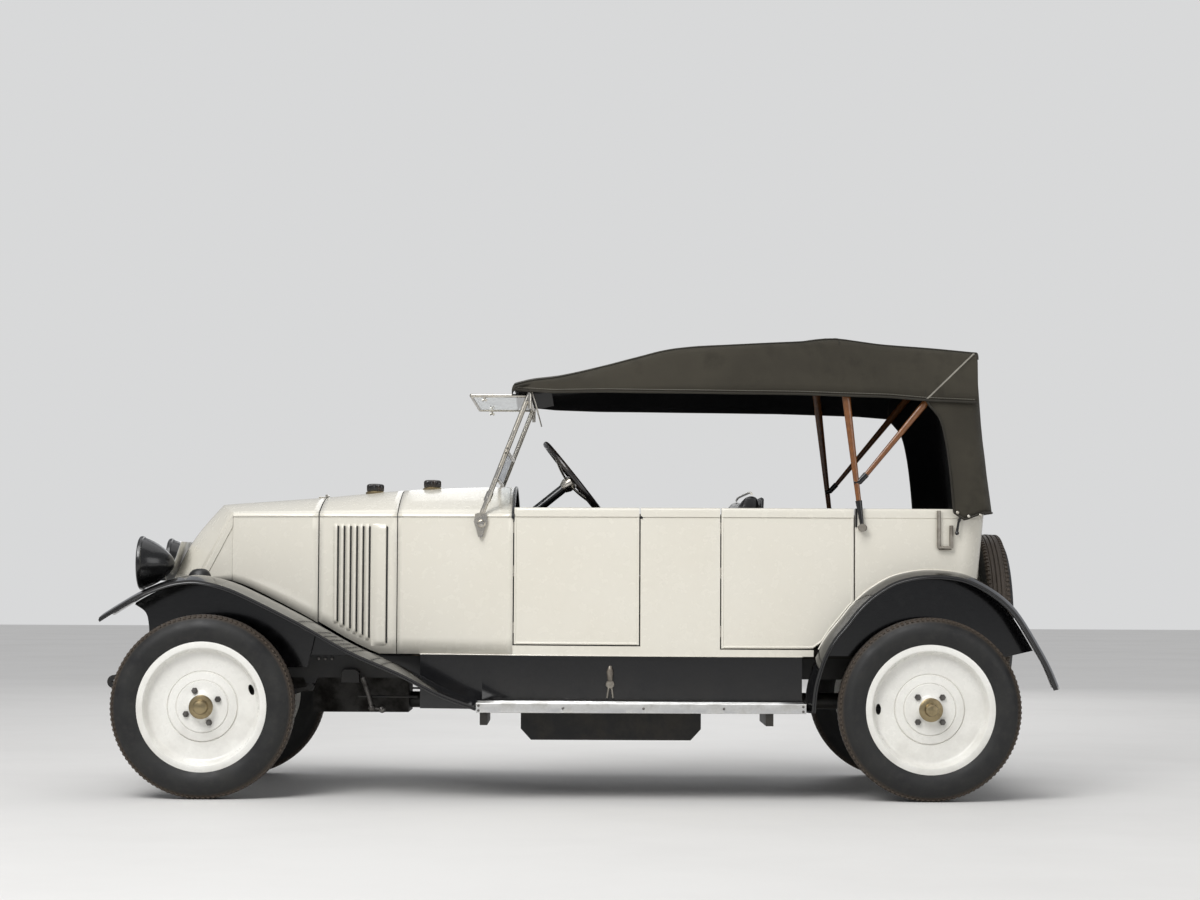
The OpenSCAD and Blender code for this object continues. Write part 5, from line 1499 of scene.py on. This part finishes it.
def makeSeats():
    for word in ("front", "rear"):
        size = seats[word]
        (x0, x1), (z0, z1) = size["cushion"]
        shape = newShape()
        addBox(shape, (x0, -size["half"], z0), (x1, size["half"], z1))
        cushion = padPiece(word + "Cushion", shape, True, lambda p: (0, 0, -1 if p.z > 0.84 else 0), blackHide)
        place(cushion, "car", "seat_leather", [f"{word}_seat"])
        shape = newShape()
        addPrism(shape, size["back"], -size["half"], size["half"])
        front = size["back"][0][0]
        back = padPiece(word + "Back", shape, True, lambda p: (1 if p.x < front + 0.07 else 0, 0, 0), blackHide)
        place(back, "car", "seat_leather")
        shape = newShape()
        base = {"front": [(0.150, 0.574), (0.680, 0.574), (0.690, 0.735), (0.150, 0.735)],
                "rear": [(1.080, 0.574), (1.550, 0.574), (1.550, 0.740), (1.080, 0.740)]}[word]
        addPrism(shape, base, -0.470, 0.470)
        rear = {"front": [(0.716, 0.600), (0.728, 0.600), (0.752, 1.205), (0.740, 1.212)],
                "rear": [(1.574, 0.760), (1.584, 0.760), (1.596, 1.140), (1.586, 1.140)]}[word]
        addPrism(shape, rear, -0.480, 0.480)
        piece(shape, word + "SeatBox", [blackHide], "car", "seat_leather", bevel=0.004)
        ridge = size["back"][2]
        piping = newShape()
        addTube(piping, [(ridge[0] + 0.002, y, ridge[1] + 0.012 - 0.010 * (abs(y) / 0.48) ** 8) for y in spread(-0.480, 0.480, 40)],
                0.0048, 8)
        piece(piping, word + "Piping", [creamHide if word == "front" else blackHide], "car", "seat_leather")


makeSeats()
print("seats made")


# ---- windscreen ----
glazing = {"foot": (-0.386, 1.151), "head": (-0.204, 1.620), "y": 0.468, "post": 0.0105}


def postPoint(t, side=1, out=0.0):
    (x0, z0), (x1, z1) = glazing["foot"], glazing["head"]
    return (mix(x0, x1, t), side * (glazing["y"] + out), mix(z0, z1, t))


def makeWindscreen():
    shape = newShape()
    for side in (-1, 1):
        addTube(shape, [postPoint(t, side) for t in spread(-0.02, 1, 10)], glazing["post"], 20, flat=0.8, up=(0, 1, 0))
        foot = [(-0.391, 1.146), (-0.372, 1.140), (-0.3665, 1.110), (-0.3905, 1.041), (-0.4045, 1.046), (-0.4225, 1.106), (-0.418, 1.138)]
        low, high = sorted((side * 0.459, side * 0.4725))
        addPrism(shape, foot, low, high)
        addTurned(shape, [[0.0002, 0.0], [0.015, 0.0], [0.0165, 0.004], [0.0125, 0.011], [0.0002, 0.012]] if side > 0 else
                  [[0.0002, 0.0], [0.015, 0.0], [0.0165, -0.004], [0.0125, -0.011], [0.0002, -0.012]],
                  (-0.392, side * 0.471, 1.098), "Y", 24, closed=False)
        addTube(shape, [postPoint(0.08, side, 0.004), postPoint(0.16, side, 0.004)], 0.0145, 18, up=(0, 1, 0))
        addTube(shape, [(-0.208, side * 0.448, 1.620), (-0.438, side * 0.448, 1.620)], 0.0072, 14)   # opened upper pane
        wing_ = (-0.384, side * 0.448, 1.605)
        for a in (90, 210, 330):
            turn = math.radians(a)
            addTube(shape, [wing_, (wing_[0] + 0.011 * math.cos(turn), wing_[1], wing_[2] + 0.011 * math.sin(turn))], [0.004, 0.0055], 10)
        addTube(shape, [(-0.200, side * 0.474, 1.632), (-0.199, side * 0.474, 1.568)], [0.0085, 0.0072], 14, flat=0.7, up=(0, 1, 0))
        addTube(shape, [(-0.190, side * 0.470, 1.635), (-0.176, side * 0.470, 1.590), (-0.165, side * 0.470, 1.548)], 0.0032, 10)
    for z, x, r in ((1.284, None, 0.0070), (1.396, None, 0.0088), (1.620, None, 0.0090)):
        t = (z - glazing["foot"][1]) / (glazing["head"][1] - glazing["foot"][1])
        px, _, pz = postPoint(t)
        addTube(shape, [(px, y, pz) for y in spread(-glazing["y"], glazing["y"], 8)], r, 16)
    addTube(shape, [(-0.438, y, 1.620) for y in spread(-0.448, 0.448, 8)], 0.0072, 14)
    piece(shape, "windscreenFrame", [nickel], "car", "nickel", ["windscreen_frame"], angle=45)
    screws = [((postPoint(t, side, 0.0)[0], side * (glazing["y"] + 0.0085), postPoint(t)[2]), turnTo((0, side, 0)), (1, 1, 1))
              for side in (-1, 1) for t in (0.50, 0.54, 0.96)]
    showCopies(copiesOnPoints("windscreenScrews", studShape(0.0042, 0.0025), screws, steelDark), "windscreenScrews", "car", "nickel")


makeWindscreen()


# ---- lamps, caps, plate ----
lamp = {"face": -1.786, "z": 0.933, "y": 0.360, "radius": 0.107, "depth": 0.140}


def makeLamps():
    shape, dark, inside = newShape(), newShape(), newShape()
    for side in (-1, 1):
        centre = (lamp["face"], side * lamp["y"], lamp["z"])
        bowl = [[lamp["radius"] * (1 - (min(d, 0.1398) / lamp["depth"]) ** 1.4) ** 0.65, d] for d in spread(0.006, lamp["depth"], 26)]
        addTurned(shape, bowl + [[0.0002, lamp["depth"]]], centre, "X", 72, closed=False)
        addTurned(dark, [[0.0985, -0.001], [0.1045, -0.004], [0.1095, 0.000], [0.1105, 0.006], [0.1095, 0.013], [0.105, 0.016],
                         [0.1000, 0.010]], centre, "X", 72)
        mirror_ = [[0.100 * math.sqrt(k / 12), 0.078 - 0.070 * k / 12] for k in range(13)]
        addTurned(inside, [[0.0002, 0.078]] + mirror_[1:] + [[0.101, 0.012], [0.0005, 0.082]], centre, "X", 64)
        addTube(dark, [(-1.700, side * lamp["y"], 0.862), (-1.700, side * lamp["y"], 0.880), (-1.700, side * lamp["y"], 0.905)],
                [0.020, 0.014, 0.014], 18, up=(0, 1, 0))
    piece(shape, "lampBowls", [ironBlack], "car", "black_iron", ["headlamps"])
    piece(dark, "lampRims", [ironBlack], "car", "black_iron")
    piece(inside, "lampMirrors", [nickel], "car", "nickel")


def makeCaps():
    base, grip = newShape(), newShape()
    for x in (-0.861, -0.619):
        z = ridgeZ(x)
        addTurned(base, [[0.0002, -0.004], [0.040, -0.004], [0.041, 0.001], [0.037, 0.0045], [0.0335, 0.008], [0.0335, 0.012], [0.0002, 0.012]],
                  (x, 0, z), "Z", 48, closed=False)
        rows = []
        for h, scale in ((0.008, 0.95), (0.010, 1), (0.030, 1), (0.034, 0.95), (0.0375, 0.8), (0.039, 0.55)):
            rows.append([(x + scale * (0.0355 + 0.0011 * math.cos(30 * a)) * math.cos(a), scale * (0.0355 + 0.0011 * math.cos(30 * a))
                          * math.sin(a), z + h) for a in (2 * math.pi * k / 120 for k in range(120))])
        start = addGrid(grip, rows, 0, closed=True, flip=True)
        addFan(grip, [start + 600 + k for k in range(120)], (x, 0, z + 0.0395))
    piece(base, "capBases", [brassOld], "car", "cap_metal", ["filler_caps"])
    piece(grip, "capGrips", [bakelite], "car", "cap_metal")


def makePlate():   # bent plate without any characters
    section = [(-1.738, 0.861), (-1.6886, 0.918), (-1.652, 1.024)]
    line = curveThrough([Vector(p) for p in section], 8)
    shape = newShape()
    addGrid(shape, [[(p.x, y, p.y) for y in spread(-0.170, 0.170, 8)] for p in line], 0, flip=True)
    piece(shape, "nosePlate", [boardMetal], "bonnet", "board_metal", ["nose_plate"], thick=0.003, bevel=0.0008)


makeLamps()
makeCaps()
makePlate()
print("windscreen, lamps, caps and plate made")


# ---- running boards and their fittings ----
board = {"front": -0.400, "rear": 0.904, "top": 0.387, "low": 0.349, "outer": 0.698, "ribPitch": 0.012, "ribHigh": 0.0022}


def makeBoards():
    deck, edge, low = newShape(), newShape(), newShape()
    for side in (-1, 1):
        rows = []
        ys = []
        y = 0.500
        while y < board["outer"] - 0.006:
            ys += [(y, 0), (y + 0.003, 0), (y + 0.0042, board["ribHigh"]), (y + 0.0078, board["ribHigh"]), (y + 0.009, 0)]
            y += board["ribPitch"]
        ys.append((board["outer"] - 0.004, 0))
        for x in spread(board["front"], board["rear"], 12):
            inner = beltHalf(x) - 0.016
            rows.append([Vector((x, side * max(v, inner), board["top"] - 0.0026 + h)) for v, h in ys])
        addGrid(deck, rows, 0, flip=side < 0)
        profile = [(board["outer"] - 0.008, 0.3870), (board["outer"] + 0.0005, 0.3872), (board["outer"] + 0.0022, 0.3850),
                   (board["outer"] + 0.0010, 0.3780), (board["outer"] + 0.0010, 0.3580), (board["outer"] + 0.0022, 0.3510),
                   (board["outer"] + 0.0005, 0.3490), (board["outer"] - 0.008, 0.3490)]
        addPrism(edge, [(side * v, h) for v, h in profile], board["front"], board["rear"], "X")
        addPrism(low, [(side * v, h) for v, h in ((0.500, 0.352), (board["outer"] - 0.006, 0.352), (board["outer"] - 0.006, 0.382), (0.500, 0.382))],
                 board["front"] + 0.002, board["rear"] - 0.002, "X")
        for x in (-0.385, 0.745):
            addPrism(low, [(x, 0.300), (x + 0.030, 0.300), (x + 0.030, 0.352), (x, 0.352)], *sorted((side * 0.345, side * 0.690)))
    piece(deck, "boardDecks", [boardMetal], "car", "board_metal", ["running_boards"], thick=0.0015)
    piece(edge, "boardEdges", [boardMetal], "car", "board_metal")
    piece(low, "boardBeams", [chassisBlack], "car", "chassis_paint", bevel=0.001)
    spots = [((x, side * (board["outer"] + 0.0012), z), turnTo((0, side, 0)), (1, 1, 1)) for side in (-1, 1)
             for x, z in ((-0.390, 0.358), (-0.390, 0.377), (-0.057, 0.368), (0.261, 0.368), (0.579, 0.368), (0.892, 0.358), (0.892, 0.377))]
    showCopies(copiesOnPoints("boardScrews", studShape(0.0052, 0.0028), spots, steelDark), "boardScrews", "car", "nickel")


def makeClasps():   # clasp on the apron, and a cream line along its top edge that is a painted highlight of the light reflected there
    shape, highlightLine = newShape(), newShape()
    for side in (-1, 1):
        y = side * (beltHalf(0.131) - 0.014)
        addTube(shape, [(0.131, y, 0.528), (0.130, y + side * 0.006, 0.505), (0.131, y + side * 0.006, 0.470)], [0.006, 0.014, 0.010], 14, flat=0.5, up=(0, 1, 0))
        addTurned(shape, [[0.0002, -0.009], [0.016, -0.007], [0.018, 0], [0.016, 0.007], [0.0002, 0.009]], (0.131, y, 0.455), "Y", 24, closed=False)
        for dx in (-0.012, 0.012):
            addTube(shape, [(0.131 + dx * 0.4, y, 0.450), (0.131 + dx, y, 0.400)], 0.0045, 10, up=(0, 1, 0))
        # cream tube standing for the painted reflection on the black apron's top edge
        line = [(x, side * (beltHalf(x) + 0.0008), 0.5695) for x in spread(-0.640, 0.900, 40)]
        addTube(highlightLine, line, 0.0022, 8)
    piece(shape, "apronClasps", [steelWorn], "car", "nickel")
    piece(highlightLine, "apronLine", [creamPaint], "car", "body_paint")


def makeLinkage():   # steering box, drop arm and brake rod outside the rail
    shape, light = newShape(), newShape()
    addPrism(shape, [(-0.962, 0.451), (-0.888, 0.451), (-0.888, 0.494), (-0.905, 0.506), (-0.950, 0.506), (-0.962, 0.494)], -0.388, -0.346)
    addTube(light, [(-0.872, -0.392, 0.472), (-0.852, -0.394, 0.412), (-0.835, -0.394, 0.350)], [0.012, 0.009, 0.008], 14, flat=0.7, up=(0, 1, 0))
    for x, z in ((-0.835, 0.350), (-0.793, 0.344)):
        addTurned(light, [[0.0002, -0.015], [0.0105, -0.0105], [0.015, 0], [0.0105, 0.0105], [0.0002, 0.015]], (x, -0.394, z), "Y", 20, closed=False)
    addTube(light, [(-0.835, -0.394, 0.350), (-0.793, -0.394, 0.344)], 0.006, 10)
    for side in (-1, 1):
        addTube(shape, [(-0.892, side * 0.372, 0.396), (-0.649, side * 0.372, 0.394)], 0.0045, 10)
    piece(shape, "steeringBox", [chassisBlack], "car", "chassis_paint", bevel=0.002)
    piece(light, "dropArm", [steelDark], "car", "nickel")
    bolts = [((x, side * 0.3575, 0.547), turnTo((0, side, 0)), (1, 1, 1)) for side in (-1, 1) for x in (-1.057, -1.030, -1.003)]
    showCopies(copiesOnPoints("railBolts", studShape(0.006, 0.004), bolts, steelDark), "railBolts", "car", "nickel")


def makeSteeringWheel():
    hub = Vector((-0.041, -0.250, 1.268))
    ahead = Vector((0.779, 0, 0.627)).normalized()
    across = Vector((0, 1, 0))
    high = across.cross(ahead).normalized()
    ring = [hub + ahead * 0.030 + (across * math.cos(a) + high * math.sin(a)) * 0.187 for a in (2 * math.pi * k / 72 for k in range(72))]
    shape = newShape()
    addTube(shape, ring, 0.0125, 14, up=tuple(ahead), loop=True)
    metal = newShape()
    for k in range(4):
        a = math.pi / 4 + k * math.pi / 2
        way = across * math.cos(a) + high * math.sin(a)
        addTube(metal, [hub + ahead * (0.004 + 0.026 * t ** 1.6) + way * mix(0.020, 0.180, t) for t in spread(0, 1, 8)], [mix(0.010, 0.0065, t) for t in spread(0, 1, 8)],
                12, flat=0.5, up=tuple(ahead))
    addTube(metal, [hub - ahead * 0.030, hub - ahead * 0.010, hub + ahead * 0.016, hub + ahead * 0.024], [0.021, 0.030, 0.030, 0.018], 28)
    piece(shape, "wheelRim", [bakelite], "steering_wheel", "bakelite", ["steering_wheel"])
    piece(metal, "wheelSpokes", [nickel], "steering_wheel", "nickel")


def makeDials():   # plain dial faces with bright rims, without any marks
    rims, faces = newShape(), newShape()
    for y, r, z in ((-0.060, 0.042, 1.085), (0.045, 0.032, 1.085), (0.130, 0.026, 1.085)):
        addTurned(rims, [[r, 0.0], [r + 0.004, 0.0], [r + 0.005, 0.004], [r + 0.001, 0.008], [r - 0.003, 0.006]], (-0.320, y, z), "X", 40)
        addTurned(faces, [[0.0002, 0.0], [r, 0.0], [r, 0.0025], [0.0002, 0.0035]], (-0.320, y, z), "X", 40, closed=False)
    piece(rims, "dialRims", [nickel], "car", "nickel")
    piece(faces, "dialFaces", [bakelite], "car", "bakelite")


makeBoards()
makeClasps()
makeLinkage()
makeSteeringWheel()
makeDials()
print("fittings made")


# ---- camera, light and floor ----
view = {"place": (0.0, -10.46, 0.906), "turn": (92.83, -0.27, -0.51), "lens": 73.95, "sensor": 36}
lights = [("keyLight", (-3.5, -6.5, 6.0), 3.5, 330), ("fillLight", (6.0, -6.5, 3.0), 4.0, 90), ("topLight", (0, 1.0, 6.0), 6.0, 90),
          ("backLight", (1.0, 8.0, 4.0), 5.0, 90)]
sunLight = {"turn": (28, -14, 0), "strength": 1.35, "spread": 35}   # even light over the whole floor


def makeStudio():
    data = bpy.data.cameras.new("viewCamera")
    data.lens, data.sensor_width, data.sensor_fit = view["lens"], view["sensor"], "HORIZONTAL"
    camera = bpy.data.objects.new("viewCamera", data)
    camera.location = view["place"]
    camera.rotation_euler = [math.radians(a) for a in view["turn"]]
    scene.collection.objects.link(camera)
    scene.camera = camera
    for name, spot, size, power in lights:
        lamp_ = bpy.data.lights.new(name, "AREA")
        lamp_.size, lamp_.energy = size, power
        obj = bpy.data.objects.new(name, lamp_)
        obj.location = spot
        obj.rotation_euler = (Vector((0, 0, 0.8)) - Vector(spot)).to_track_quat("-Z", "Y").to_euler()
        scene.collection.objects.link(obj)
    day = bpy.data.lights.new("evenLight", "SUN")
    day.energy, day.angle = sunLight["strength"], math.radians(sunLight["spread"])
    sun = bpy.data.objects.new("evenLight", day)
    sun.rotation_euler = [math.radians(a) for a in sunLight["turn"]]
    scene.collection.objects.link(sun)
    world = bpy.data.worlds.new("studio")
    world.use_nodes = True
    sky = world.node_tree
    soft = sky.nodes["Background"]
    soft.inputs[0].default_value, soft.inputs[1].default_value = rgb(0.93, 0.95, 1.0), 0.34
    pale = addNode(sky, "ShaderNodeBackground", None, Color=rgb(0.86, 0.865, 0.87), Strength=0.80).outputs[0]
    seen = sky.nodes.new("ShaderNodeLightPath").outputs["Is Camera Ray"]
    both = addNode(sky, "ShaderNodeMixShader", None, i0=seen, i1=soft.outputs[0], i2=pale).outputs[0]
    sky.links.new(both, sky.nodes["World Output"].inputs[0])
    scene.world = world
    scene.view_settings.view_transform = "Standard"
    material, tree, shader, spot = startFinish("floorFinish", {})
    cloud = useGroup(tree, patches, Vector=spot, Scale=0.8, From=0.3, To=0.8)["Mask"]
    tree.links.new(blendColour(tree, cloud, rgb(0.70, 0.69, 0.67), rgb(0.66, 0.65, 0.63)), shader.inputs["Base Color"])
    tree.links.new(ramp(tree, cloud, 0.0, 1.0, 0.7, 0.8), shader.inputs["Roughness"])
    shape = newShape()
    addGrid(shape, [[(x, y, 0.0) for y in (-30, 30)] for x in (-30, 30)], 0)
    floor = showMesh(toMesh(shape, "studioFloor"), "studioFloor", [material])
    if floor.data.polygons[0].normal.z < 0:
        floor.data.flip_normals()


makeStudio()
print("studio ready")
